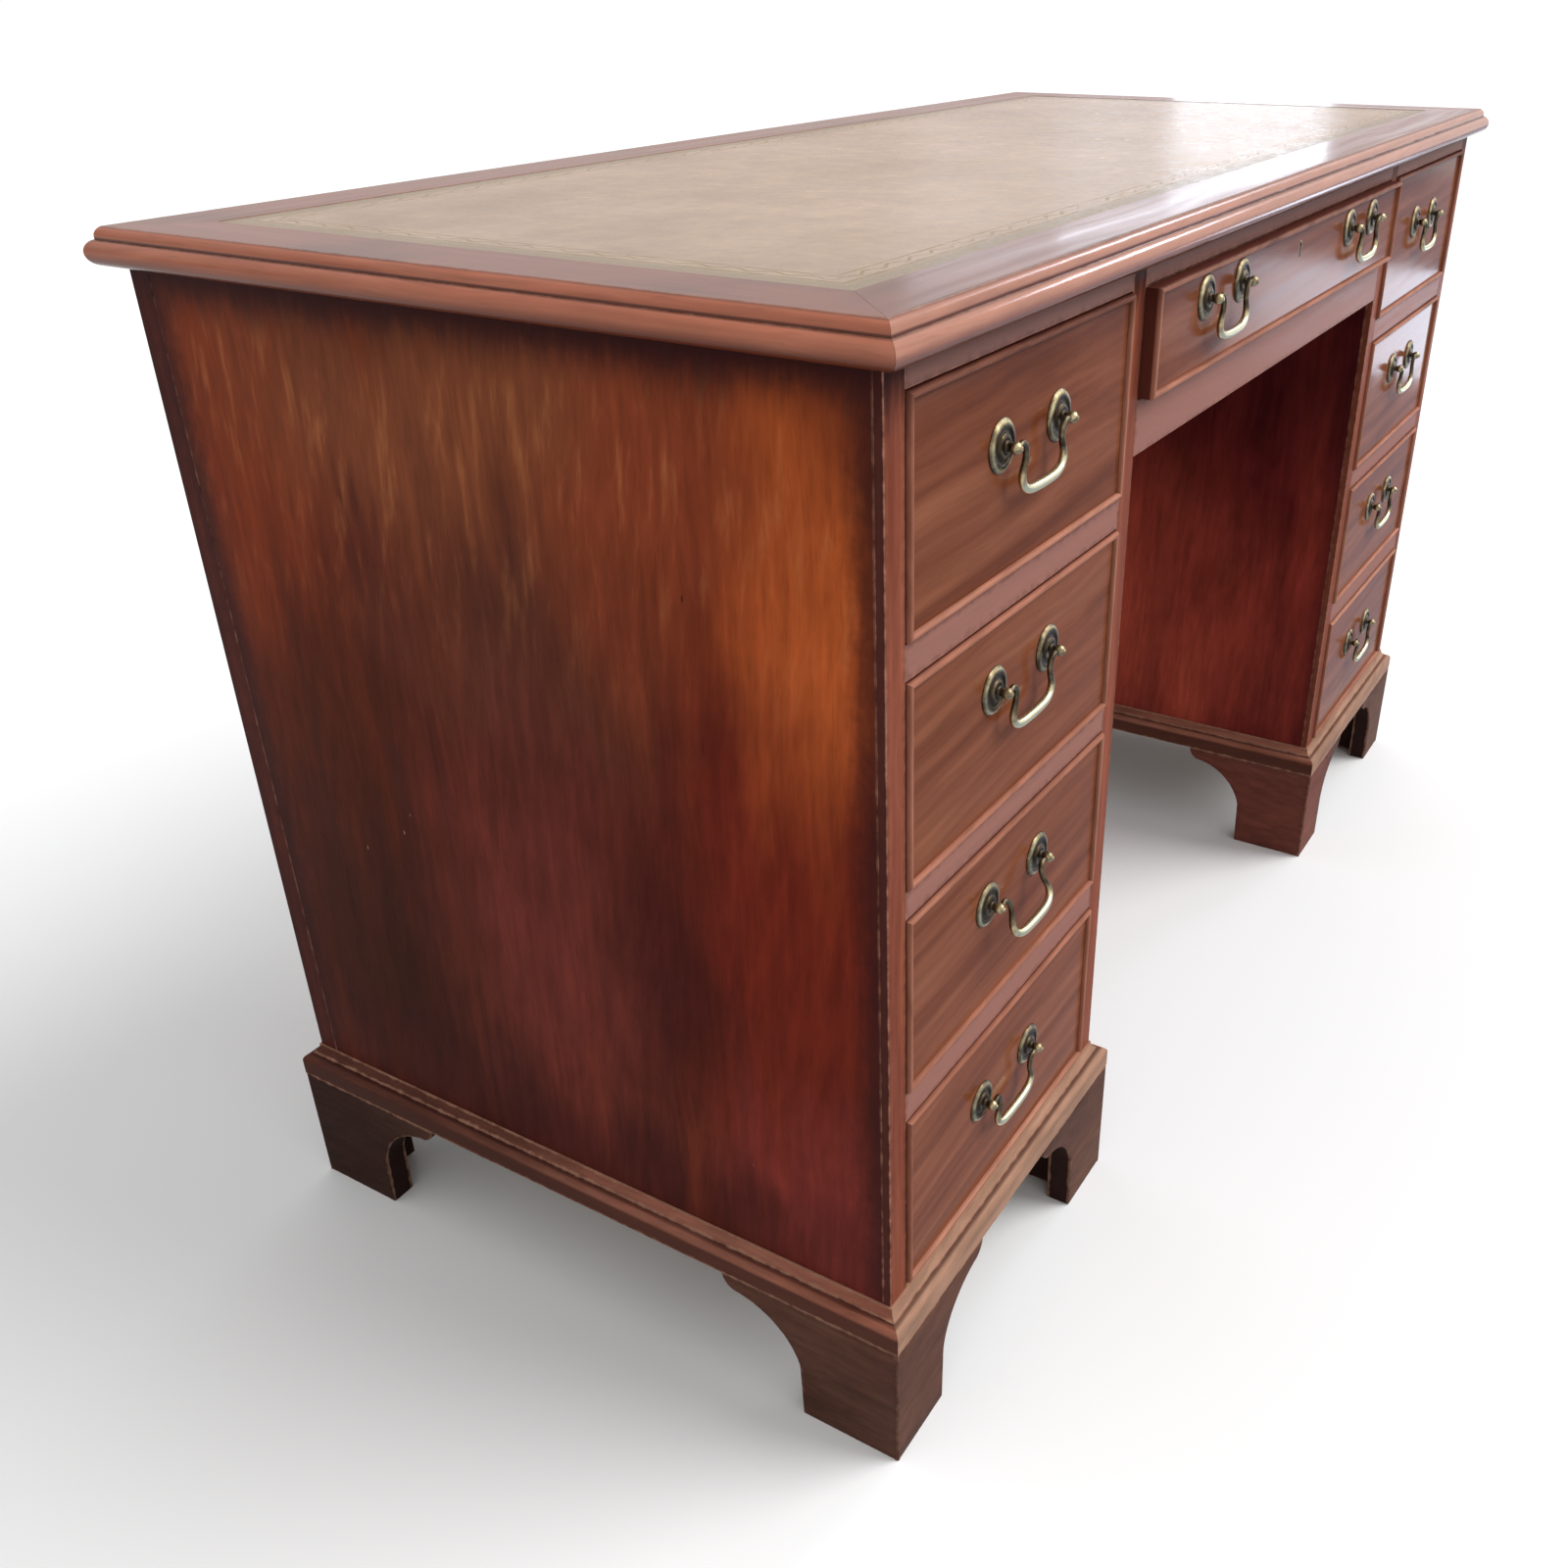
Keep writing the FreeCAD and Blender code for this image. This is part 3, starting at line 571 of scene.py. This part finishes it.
def bareOak(name, look):
    # Oak, planed and left bare inside the carcass: open pores and broad bands along the grain, a dry dull surface
    # darkened by age and handling. Pores are drawn about 1 mm wide so that they show.
    material, add = newMaterial(name)
    grain = add("Mapping", {0: add("TexCoord", out=3), "Rotation": look["turn"]})
    figure = {}
    for key, detail in (("bandScale", 5), ("poreScale", 2)):
        scaled = add("VectorMath MULTIPLY", [grain, look[key]])
        figure[key] = add("TexNoise", {"Vector": scaled, "Scale": 1, "Detail": detail})
    band = figure["bandScale"]
    pore = add("MapRange", [figure["poreScale"], *look["poreCut"]])
    grime = add("TexNoise", {"Vector": grain, "Scale": look["grimeScale"], "Detail": 4})
    grime = add("MapRange", [grime, *look["grimeCut"], 0, look["grime"]])
    colour = add("ValToRGB", [band], stops=look["stops"])
    colour = add("Mix", {0: grime, 6: colour, 7: look["grimeColour"]}, **rgba)
    dark = add("Math MULTIPLY", [pore, look["pores"]])
    colour = add("Mix", {0: dark, 6: colour, 7: look["poreColour"]}, **rgba)
    relief = add("Math MULTIPLY", [pore, -1])
    rough = add("MapRange", [band, 0, 1, *look["rough"]])
    return surface(material, add, look, relief, colour, rough, {"IOR": 1.45})


oakLook = dict(
    stops=[(0.3, "#7A5A38"), (0.5, "#97744A"), (0.75, "#AE8C5E")], bandScale=(2, 60, 60),
    poreScale=(30, 600, 600), poreCut=(0.54, 0.7), pores=0.5, poreColour="#3E2A18",
    grime=0.5, grimeScale=6, grimeCut=(0.45, 0.75), grimeColour="#5B4028",
    rough=(0.6, 0.8), bump=0.4, bumpDepth=0.0005,
)
finishes["oakX"] = bareOak("oakBareAcross", oakLook | dict(turn=(0, 0, 0)))
finishes["oakY"] = bareOak("oakBareDeep", oakLook | dict(turn=(0, 0, -1.5708)))


def tooledLeather(name, look):
    # Hide dyed tan, glazed and glued down, faded by light: pebbled grain, really about 1 mm across and drawn 1.6 mm
    # across so that it shows, rubbed and stained patches, a low glaze, and a gilt border of two lines with a row of
    # small bows between them
    material, add = newMaterial(name)
    place = add("TexCoord", out=3)
    low, high = (np.array(corner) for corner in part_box("leather_writing_surface"))
    local = add("VectorMath SUBTRACT", [place, ((low + high) / 2).tolist()])
    gap = add("VectorMath ABSOLUTE", [local])
    gap = add("VectorMath SUBTRACT", [((high - low) / 2).tolist(), gap])
    toEnd, toSide, _ = add("SeparateXYZ", [gap]).node.outputs
    runX, runY, _ = add("SeparateXYZ", [local]).node.outputs
    inset = add("Math MINIMUM", [toEnd, toSide])
    lengthwise = add("Math GREATER_THAN", [toEnd, toSide])
    walked = add("Mix", {0: lengthwise, 2: runY, 3: runX})
    # bows: the row's middle line follows a cosine of the distance walked along the edge
    bow = add("Math MULTIPLY", [walked, 6.2832 / look["bow"]])
    bow = add("Math COSINE", [bow])
    bow = add("Math MULTIPLY_ADD", [bow, look["bowHeight"], look["bowInset"]])
    gold = 0.0
    for line, width in zip((look["outer"], bow, look["inner"]), look["lineWidths"]):
        mark = add("Math SUBTRACT", [inset, line])
        mark = add("Math ABSOLUTE", [mark])
        mark = add("MapRange", [mark, width * 1.6, width * 0.7])
        gold = add("Math MAXIMUM", [gold, mark])
    rubbed = add("TexNoise", {"Vector": place, "Scale": look["rubScale"], "Detail": 4})
    rubbed = add("MapRange", [rubbed, *look["rubCut"], look["rubLeast"]])
    gold = add("Math MULTIPLY", [gold, rubbed])
    pebble = add("TexVoronoi", {"Vector": place, "Scale": look["pebbleScale"]}, feature="DISTANCE_TO_EDGE")
    crease = add("TexNoise", {"Vector": place, "Scale": look["creaseScale"], "Detail": 6, "Roughness": 0.65})
    stain = add("TexNoise", {"Vector": place, "Scale": look["stainScale"], "Detail": 5, "Roughness": 0.6})
    colour = add("ValToRGB", [stain], stops=look["stops"])
    shade = add("MapRange", [crease, *look["contrast"], *look["creaseShade"]])
    colour = add("HueSaturation", {"Color": colour, "Value": shade})
    edgeDark = add("MapRange", [inset, *look["edgeReach"], 0, look["edgeDark"]], **smooth)
    colour = add("Mix", {0: edgeDark, 6: colour, 7: look["edgeColour"]}, **rgba)
    colour = add("Mix", {0: gold, 6: colour, 7: look["gold"]}, **rgba)
    height = add("MapRange", [pebble, *look["pebbleCut"]])
    height = add("Math MULTIPLY_ADD", [height, look["pebbleRelief"], crease])
    height = add("Math MULTIPLY_ADD", [gold, -1, height])
    rough = add("MapRange", [crease, *look["contrast"], *look["rough"]])
    metallic = add("Math MULTIPLY", [gold, look["goldMetallic"]])
    return surface(material, add, look, height, colour, rough, {
        "IOR": 1.48, "Metallic": metallic, "Specular IOR Level": look["specular"]})


finishes["leather"] = tooledLeather("leatherTanGlazed", dict(
    stops=[(0.3, "#967E69"), (0.5, "#AB937C"), (0.72, "#BBA28C")], stainScale=4.5,
    outer=0.0150, inner=0.0290, bow=0.024, bowHeight=0.0024, bowInset=0.0225,
    lineWidths=(0.0011, 0.0010, 0.0008), gold="#8A7030", goldMetallic=0.55,
    rubScale=55, rubCut=(0.40, 0.56), rubLeast=0.35,
    pebbleScale=620, pebbleCut=(0.0, 0.25), pebbleRelief=0.5,
    creaseScale=45, creaseShade=(0.86, 1.1), contrast=(0.3, 0.7),
    edgeColour="#716648", edgeDark=0.6, edgeReach=(0.02, 0.008),
    rough=(0.14, 0.28), specular=0.15, bump=0.18, bumpDepth=0.0005))


def agedMetal(name, look):
    # Cast brass, lacquer long gone: brown-black tarnish in the hollows, pale yellow metal where fingers rub it, fine
    # casting texture under both. The piece's own rub attribute says where the fingers go. Steel, filed and worn, is the
    # same in greys.
    material, add = newMaterial(name)
    place = add("TexCoord", out=3)
    blotch = add("TexNoise", {"Vector": place, "Scale": look["blotchScale"], "Detail": 5, "Roughness": 0.6})
    pit = add("TexNoise", {"Vector": place, "Scale": look["pitScale"], "Detail": 3})
    rub = look["evenRub"] or add("Attribute", out=2, attribute_name="rub")
    bright = add("Math MULTIPLY_ADD", [blotch, look["blotch"], rub])
    bright = add("MapRange", [bright, *look["brightCut"]], **smooth)
    colour = add("ValToRGB", [bright], stops=look["stops"])
    rough = add("MapRange", [bright, 0, 1, look["dullRough"], look["brightRough"]])
    return surface(material, add, look, pit, colour, rough, {"Metallic": 1.0})


brassLook = dict(
    stops=[(0.0, "#43382C"), (0.45, "#86775C"), (0.8, "#BDAE86"), (1.0, "#DAD3B0")], evenRub=None,
    blotch=0.7, blotchScale=160, brightCut=(0.52, 1.12), dullRough=0.42, brightRough=0.3,
    pitScale=900, bump=0.12, bumpDepth=0.0003,
)
plainLook = brassLook | dict(evenRub=0.45)
finishes["brass"] = agedMetal("brassAged", brassLook)
finishes["brassPlain"] = agedMetal("brassAgedPlain", plainLook)
finishes["steel"] = agedMetal("steelWorn", plainLook | dict(
    stops=[(0.0, "#3B3733"), (0.6, "#8A8680"), (1.0, "#B5B2AC")]))
print("leather, oak and metal finishes made")


# Boards of the carcass

boards = dict(ease=0.0008, facingEase=0.0006)
foot, under = desk["foot"], desk["underTop"]
front, back = desk["front"] + desk["facing"], desk["back"] - desk["backBoard"]
innerLeft, innerRight = pedestals[0][1], pedestals[1][0]


def sideBoard(x):
    return roundedBoard((x, front, foot), (x + desk["board"], back, under), boards["ease"])


for name, x, finish in (("left_outer_side", left, "leftSide"), ("right_outer_side", right - desk["board"], "side")):
    makePiece(name + "_board", [sideBoard(x)], finish, "carcass", "carcass_wood", name)
makePiece("kneehole_side_boards", [sideBoard(innerLeft - desk["board"]), sideBoard(innerRight)], "kneehole",
    "carcass", "carcass_wood", "kneehole_sides")
behind = [roundedBoard((a, back, foot), (b, desk["back"], under), boards["ease"], along=2) for a, b in pedestals]
behind.append(roundedBoard((innerLeft, back, desk["kneehole"]), (innerRight, desk["back"], under), boards["ease"]))
makePiece("back_board_panels", behind, "side", "carcass", "carcass_wood", "back_boards")

# Facing strips and rails: openings from the top down; slot is where the lock bolt rises, measured from the front
rails = dict(
    depth=0.060, kneehole=(desk["kneehole"], 0.656), slotEase=0.0002,
    openings=[(0.597, 0.727), (0.446, 0.576), (0.299, 0.427), (0.136, 0.277)],
    slot=((-0.0105, 0.005, 0.727), (0.0105, 0.021, 0.7365)),
)


def rail(x0, x1, low, high, start=0.0, end=rails["depth"], ease=boards["facingEase"]):
    return roundedBoard((x0, desk["front"] + start, low), (x1, desk["front"] + end, high), ease)


strips = []
for a, b in pedestals:
    for x in (a, b - desk["board"]):
        strips.append(rail(x, x + desk["board"], foot, under, end=desk["facing"]))
    tops = [under] + [low for low, high in rails["openings"][:-1]]
    for top, (low, high) in zip(tops, rails["openings"]):
        strips.append(rail(a + desk["board"], b - desk["board"], high, top))
strips.append(rail(innerLeft, innerRight, *rails["kneehole"]))
# the rail over the middle drawer is built up round the slot: before it, over it, at both sides and behind it
(s0, d0, low), (s1, d1, high) = rails["slot"]
strips.append(rail(innerLeft, innerRight, low, under, end=d0))
for box in (
        (innerLeft, innerRight, high, under, d0), (innerLeft, s0, low, high, d0), (s1, innerRight, low, high, d0),
        (s0, s1, low, high, d1)):
    strips.append(rail(*box, ease=rails["slotEase"]))
makePiece("front_frame_strips", strips, "frame", "carcass", "carcass_wood", "front_frame")
print("carcass boards made")


# Top border and plinth: moulded strips mitred at the corners, profiles in millimetres out and up

topBorder = dict(dent=0.00035, joint=0.00012, arcCount=17, profile=[
    (-40, 742), (8.4, 742), (11.5, 757.37, 16.4, 750), (10.7, 757.37), (10.7, 758.2), (6.7, 765, 9.7, 762.4),
    (-40, 765), (-40, 742)])
plinth = dict(dent=0.0004, joint=0.00012, arcCount=11, profile=[
    (-20, 106), (12.4, 106), (12.4, 118), (6.6, 124.6, 10.9, 122.6), (5.4, 124.6), (5.4, 126), (1.2, 133.3, 2.4, 128.8),
    (0, 133.3), (0, 118), (-20, 118), (-20, 106)])


def moulding(shape, x0, x1):
    # the shape's profile round the rectangle from x0 to x1 and from the front to the back
    profile = outline(shape["profile"], arcCount=shape["arcCount"])[:-1]
    return mitredStrips(profile, (x0, desk["front"]), (x1, desk["back"]), lambda *xyz: np.stack(xyz, -1),
        dent=shape["dent"], joint=shape["joint"])


makePiece("top_border_strips", moulding(topBorder, left, right), "top", "carcass", "top_wood", "top_border")
makePiece("plinth_strips", [strip for pedestal in pedestals for strip in moulding(plinth, *pedestal)],
    "plinth", "carcass", "plinth_wood", "plinth_moulding")
print("mouldings made")


# Bracket feet: the cut edge is given by its share of the curve, what lies beyond that, and its height, in millimetres

feet = dict(thickness=0.020, height=0.106, ease=0.0012, out=0.0124, block=0.030, lift=0.003,
        front=dict(width=62, curve=50), side=dict(width=78, curve=56), sliver=0.0004,
        cut=[(0, 0, 0), (0, 1.5, 48), (0.35, 0, 77.5), (1, 0, 93), (1, 6.75, 98.5), (1, 9, 106)],
        faceRise=0.005, rimRise=-0.05)


def bracketFoot(width, curve):
    # bracket lying along +X from its corner: each column of the grid runs from the cut curve up to the plinth, the two
    # faces are drawn in by a quarter round near every edge, and the corner end is mitred by its depth; a line along
    # the middle of the sawn rim has a negative rise, which the wood shader darkens as painted shade
    heel, leg, bend, crown, turn, end = [(width + curve * share + more, z) for share, more, z in feet["cut"]]
    lower = outline([(0, 0), heel, leg, crown + bend, end + turn], spacing=4, arcCount=14)
    ease, thick, top = feet["ease"], feet["thickness"], feet["height"]
    near = np.array([0, 0.3, 1]) * ease
    s = np.concatenate([near, lower[1:, 0]])
    z = np.concatenate([near * 0, lower[1:, 1]])
    rise = np.concatenate([near / top, np.linspace(0.05, 0.95, 12), 1 - near[::-1] / top])
    across = np.broadcast_to(s[:, None], (len(s), len(rise)))
    up = z[:, None] + (top - z[:, None]) * rise
    up[-1] = top - (1 - rise) * feet["sliver"]
    flat = np.stack([across, up], -1).reshape(-1, 2)
    rim = np.concatenate([lower, outline([end, (0, end[1]), (0, 0)], spacing=3)])
    edge = np.linalg.norm(flat[:, None] - rim[None], axis=-1).min(1)
    edge = np.minimum(edge, np.minimum(flat[:, 0], top - flat[:, 1]))
    sunk = ease * (1 - np.sqrt(1 - np.clip(1 - edge / ease, 0, 1) ** 2))
    faces = []
    for depth in (sunk, thick - sunk):
        mitre = np.where(flat[:, 0] < ease * 1.5, depth, 0)
        faces.append(np.stack([flat[:, 0] + mitre, depth, flat[:, 1]], 1))
    n, m = len(s), len(rise)
    cells = gridFaces(n, m, wrapColumns=False)
    grid = np.arange(n * m).reshape(n, m)
    loop = np.concatenate([grid[:, 0], grid[-1, 1:], grid[-2::-1, -1], grid[0, -2:0:-1]])
    middle = 2 * n * m + np.arange(len(loop))
    rimFaces = [np.stack([a, np.roll(a, -1), np.roll(b, -1), b], 1)
                for a, b in ((loop, middle), (middle, loop + n * m))]
    points = np.concatenate(faces + [(faces[0][loop] + faces[1][loop]) / 2])
    edge = np.concatenate([edge, edge, np.full(len(loop), thick / 2)])
    zero = np.zeros_like(edge)
    return {"points": points, "faces": [cells[:, ::-1], cells + n * m] + rimFaces, "grain": points[:, [0, 2, 1]],
            "fromMid": np.zeros_like(points), "halfSize": np.stack([zero, edge, zero + 1], 1),
            "rise": np.where(np.arange(len(edge)) < 2 * n * m, feet["faceRise"], feet["rimRise"])}


footPatches = []
for a, b in pedestals:
    for flipX, x in ((1, a - feet["out"]), (-1, b + feet["out"])):
        for flipY, y in ((1, desk["front"] - feet["out"]), (-1, desk["back"] + feet["out"])):
            corner, flips = np.array([x, y, 0]), np.array([flipX, flipY, 1])
            for kind, order in (("front", [0, 1, 2]), ("side", [1, 0, 2])):
                patch = bracketFoot(**feet[kind])
                patch["points"] = corner + flips * patch["points"][:, order]
                patch["grain"] = patch["grain"] + chance.uniform(-9, 9, 3)
                footPatches.append(patch)
            inside = corner + flips * feet["thickness"]
            outer = inside + flips * feet["block"]
            low, high = np.minimum(inside, outer), np.maximum(inside, outer)
            low[2], high[2] = feet["lift"], feet["height"]
            block = roundedBoard(low, high)
            # the glue blocks take the rim's negative rise, so they are darkened as painted shade too
            footPatches.append(block | {"rise": np.full(len(block["points"]), feet["rimRise"])})
makePiece("bracket_foot_boards", footPatches, "foot", "carcass", "foot_wood", "bracket_feet", sharp=0.5)
print("bracket feet made")


# Cockbeads, handles and bails of the drawers, profiles in millimetres; a rub gives where the brass is bright

bead = dict(width=0.003, proud=0.003, joint=0.00005, profile=[
    (-0.9, -10), (3, -10), (3, 1.2), (-0.9, 1.2, 1.05, 3), (-0.9, -10)])
handle = dict(
    spacing=0.072, pivot=0.0088, rosetteSides=44, postSides=28, nutSides=6,
    rosette=[(3, 0), (15.2, 0), (15.2, 0.6), (10.64, 2.38, 13.68, 1.87), (10.03, 1.7), (7.6, 1.87, 8.8, 1.5),
        (5.47, 3.4, 6.84, 3), (3, 3.4), (3, 0)],
    post=[(0.02, -28), (2.9, -28), (2.9, 3.4), (4.4, 3.4), (2.4, 4.9, 2.88, 3.93), (2.4, 5.98),
        (1.5, 12.18, 3.7, 8.8), (1.5, 12.5), (1.1, 13), (0.02, 13)],
    nut=[(3, -22), (5.9, -22), (6.35, -22.4), (6.35, -25.6), (5.9, -26), (3, -26), (3, -22)],
    leastRub=0.1, rimRubs=[(13.4, 3, 0.5), (5.6, 2.2, 0.3)], tipRub=(4, 4, 0.5),
)
bail = dict(
    pin=1.45, pinRoot=30.2, pinTip=35, tilt={"left_3_bail": 18}, rub=(0.012, 0.014, 0.5, 0.3), line=[
        (31.2, 0, 1.7), (28.4, -0.9, 1.9), (25, 0.9, 2), (23.2, 4.8, 1.9), (23.6, 9.6, 1.9), (25.6, 14.4, 2.1),
        (26.7, 18.8, 2.3), (25.2, 23.2, 2.5), (20.2, 26.5, 2.8), (11, 28, 3), (0, 28.3, 3)])


def standing(faceY, x, y, z):
    # a frame drawn in the XZ plane that stands out along -Y
    return np.stack([x, faceY - z, y], -1)


def handlePatches(pivotPoint):
    # two rosettes, posts and nuts from the hinge point between the posts
    rosette = outline(handle["rosette"], spacing=1.0)[:-1]
    post = outline(handle["post"], spacing=1.5, arcCount=11)
    nut = outline(handle["nut"], spacing=9)[:-1]
    radius, least = rosette[:, 0] * 1000, handle["leastRub"]
    rim = sum(np.clip(1 - np.abs(radius - at) / reach, 0, 1) * most for at, reach, most in handle["rimRubs"])
    at, reach, most = handle["tipRub"]
    tip = np.clip((post[:, 1] * 1000 - at) / reach, 0, 1) * most
    patches = []
    for side in (-1, 1):
        centre = np.array(pivotPoint) + (side * handle["spacing"] / 2, handle["pivot"], 0)
        patches.append(turned(rosette, rim + least, centre, handle["rosetteSides"], ring=True))
        patches.append(turned(post, tip, centre, handle["postSides"]))
        patches.append(turned(nut, np.full(len(nut), least), centre, handle["nutSides"], ring=True))
    return patches


def bailPatches(pivotPoint, tilt):
    # the half line is mirrored, smoothed and made a bar that is thickest in the middle; two pins enter the posts
    half = np.array(bail["line"], float)
    line = smoothLine(np.concatenate([half, half[-2::-1] * (-1, 1, 1)]), 110) * 0.001
    path = np.stack([line[:, 0], 0 * line[:, 0], -line[:, 1]], 1)
    at, reach, most, least = bail["rub"]
    patches = [tube(path, line[:, 2], np.clip((line[:, 1] - at) / reach, 0, 1) * most + least)]
    for side in (-1, 1):
        pin = np.linspace((bail["pinRoot"] * side, 0, 0), (bail["pinTip"] * side, 0, 0), 4) * 0.001
        patches.append(tube(pin, np.full(4, bail["pin"] * 0.001), np.full(4, handle["leastRub"]), 16))
    turn = np.array(Matrix.Rotation(np.radians(-tilt), 3, "X"))
    for patch in patches:
        patch["points"] = patch["points"] @ turn.T + np.array(pivotPoint)
    return patches


swings = {joint["child"]: joint for joint in frame["joints"] if joint["type"] == "hinge"}
beadProfile = outline(bead["profile"], spacing=2, arcCount=11)[:-1]
for name in drawers:
    body = name + "_drawer"
    low, high = (np.array(corner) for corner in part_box(name + "_cockbead"))
    inner, outer = (low + bead["width"])[[0, 2]], (high - bead["width"])[[0, 2]]
    strips = mitredStrips(beadProfile, inner, outer, partial(standing, low[1] + bead["proud"]), joint=bead["joint"])
    makePiece(name + "_bead_strips", strips, "bead", body, "bead_wood", name + "_cockbead")
    fittings = []
    for child, joint in swings.items():
        if joint["parent"] == body:
            fittings += handlePatches(joint["pos_m"])
            makePiece(child + "_bar", bailPatches(joint["pos_m"], bail["tilt"].get(child, 0)), "brass",
                child, "brass", child)
    makePiece(name + "_handle_fittings", fittings, "brass", body, "brass", name + "_handle_plates", sharp=0.7)
print("drawer beads and handles made")

# CAD nodes that stay as they are take their finish by the end of their name
plainFinishes = {
    "_front": "front", "_box": "oakY", "drawer_runners": "oakY", "bottom_boards": "oakY", "top_panel": "oakX",
    "leather_writing_surface": "leather", "centre_lock": "brassPlain", "centre_lock_bolt": "steel",
}
for name, node in frame["nodes"].items():
    for ending, kind in plainFinishes.items():
        if name.endswith(ending):
            node.data.materials.clear()
            node.data.materials.append(finishes[kind])


# Floor, light and camera

studio = dict(
    floorColour="#F4F4F4", floorBounce="#A0A0A0", floorHalf=60, world=0.74,
    sun=2.4, sunSpread=0.7, sunFrom=(0.45, -0.60, 0.66),
    panelsFrom=(1, 0, 0), panelColour=(0.78, 0.87, 1.0), wallColour="#DED1CD", carpetColour="#B4C0D6",
)


def seenOrMirrored(add):
    # 1 for rays from the camera and for those that a mirror or clear piece sends on, 0 for light that is thrown about
    rays = add("LightPath").node.outputs
    sent = add("Math MAXIMUM", [rays["Is Glossy Ray"], rays["Is Transmission Ray"]])
    return add("Math MAXIMUM", [rays["Is Camera Ray"], sent])


def stageCard(name, corners, faces, material):
    mesh = bpy.data.meshes.new(name)
    mesh.from_pydata(corners, [], faces)
    mesh.materials.append(material)
    card = linkObject(name, mesh)
    return card


# Paper, matt and faintly toothed: white to the eye and in mirrors, a mid grey for the light it throws on the desk
material, add = newMaterial("floorPaper")
tooth = add("TexNoise", {"Vector": add("TexCoord", out=3), "Scale": 400, "Detail": 2})
normal = add("Bump", {"Height": tooth, "Strength": 0.05, "Distance": 0.0002})
paper = add("Mix", {0: seenOrMirrored(add), 6: studio["floorBounce"], 7: studio["floorColour"]}, **rgba)
add("OutputMaterial", [add("BsdfDiffuse", {"Color": paper, "Normal": normal})])
far = studio["floorHalf"]
stageCard("floor", [(-far, -far, 0), (far, -far, 0), (far, far, 0), (-far, far, 0)], [(0, 1, 2, 3)], material)

world = bpy.data.worlds.new("studio")
bpy.context.scene.world = world
world.use_nodes = True
world.node_tree.nodes.clear()
add = partial(addNode, world.node_tree)
strength = add("Mix", {0: seenOrMirrored(add), 2: studio["world"], 3: 1.0})
add("OutputWorld", [add("Background", {"Color": (1, 1, 1, 1), "Strength": strength})])


def lookFrom(away):
    # turns an object so that its -Z points against the given direction and its X stays level
    away = np.array(away, float) / np.linalg.norm(away)
    side = np.cross((0, 0, 1), away)
    side /= np.linalg.norm(side)
    return Matrix(np.column_stack([side, np.cross(away, side), away]).tolist()).to_4x4()


sun = bpy.data.lights.new("sun", "SUN")
sun.energy, sun.angle = studio["sun"], studio["sunSpread"]
linkObject("sun", sun).matrix_world = lookFrom(studio["sunFrom"])

# six bright panels stand to the right, where the top, its front moulding and the right-hand fronts mirror them:
# place, size and power
panels = {
    "frontPanel": ((2.5, -0.835, 0.1625), (0.57, 0.245), 1.85),
    "backPanel": ((3.4, 0.885, 1.12), (0.47, 0.32), 1.75),
    "lowPanel": ((3.4, 0.46, 1.02), (0.38, 0.16), 0.13),
    "midPanel": ((3.4, 1.30, 1.35), (0.36, 0.20), 0.62),
    "farPanel": ((3.4, 1.765, 1.49), (0.57, 0.30), 0.55),
    "sidePanel": ((3.4, -1.125, 2.225), (0.65, 0.45), 17.0),
}
for name, (place, size, power) in panels.items():
    light = bpy.data.lights.new(name, "AREA")
    light.shape = "RECTANGLE"
    light.size, light.size_y = size
    light.energy, light.color = power, studio["panelColour"]
    holder = linkObject(name, light)
    holder.matrix_world = lookFrom(studio["panelsFrom"])
    holder.location = place
    holder.visible_camera = False

view = dict(
    place=(-1.19678, -0.61713, 0.89852), lens=33.706, shift=(-0.07105, 0.00935),
    right=(0.50708, -0.86189, -0.00455), up=(0.42591, 0.24598, 0.87069), ahead=(0.74932, 0.44345, -0.49181),
)
camera = linkObject("camera", bpy.data.cameras.new("camera"))
camera.data.lens = view["lens"]
camera.data.shift_x, camera.data.shift_y = view["shift"]
axes = np.column_stack([view["right"], view["up"], -np.array(view["ahead"])])
camera.matrix_world = Matrix(axes.tolist()).to_4x4()
camera.location = view["place"]
bpy.context.scene.camera = camera
bpy.context.scene.view_settings.view_transform = "Standard"

# pale walls of the room at the back and the right and a cooler carpet in front, which only mirroring surfaces see
wallLine, wallHeights = [(-4, 4.2), (3.6, 4.2), (3.6, -0.3)], (0.7, 2.1)
walls = [(x, y, z) for z in wallHeights for x, y in wallLine]
carpet = [(x, y, 0.003) for x, y in ((-1.2, -5), (7, -5), (7, -0.34), (-1.2, -0.34))]
room = {
    "roomWalls": (studio["wallColour"], walls, [(0, 1, 4, 3), (1, 2, 5, 4)]),
    "roomCarpet": (studio["carpetColour"], carpet, [(0, 1, 2, 3)]),
}
for name, (tint, corners, faces) in room.items():
    material, add = newMaterial(name)
    add("OutputMaterial", [add("Emission", {"Color": tint})])
    card = stageCard(name, corners, faces, material)
    card.visible_camera = card.visible_diffuse = card.visible_shadow = False
print("studio set up")
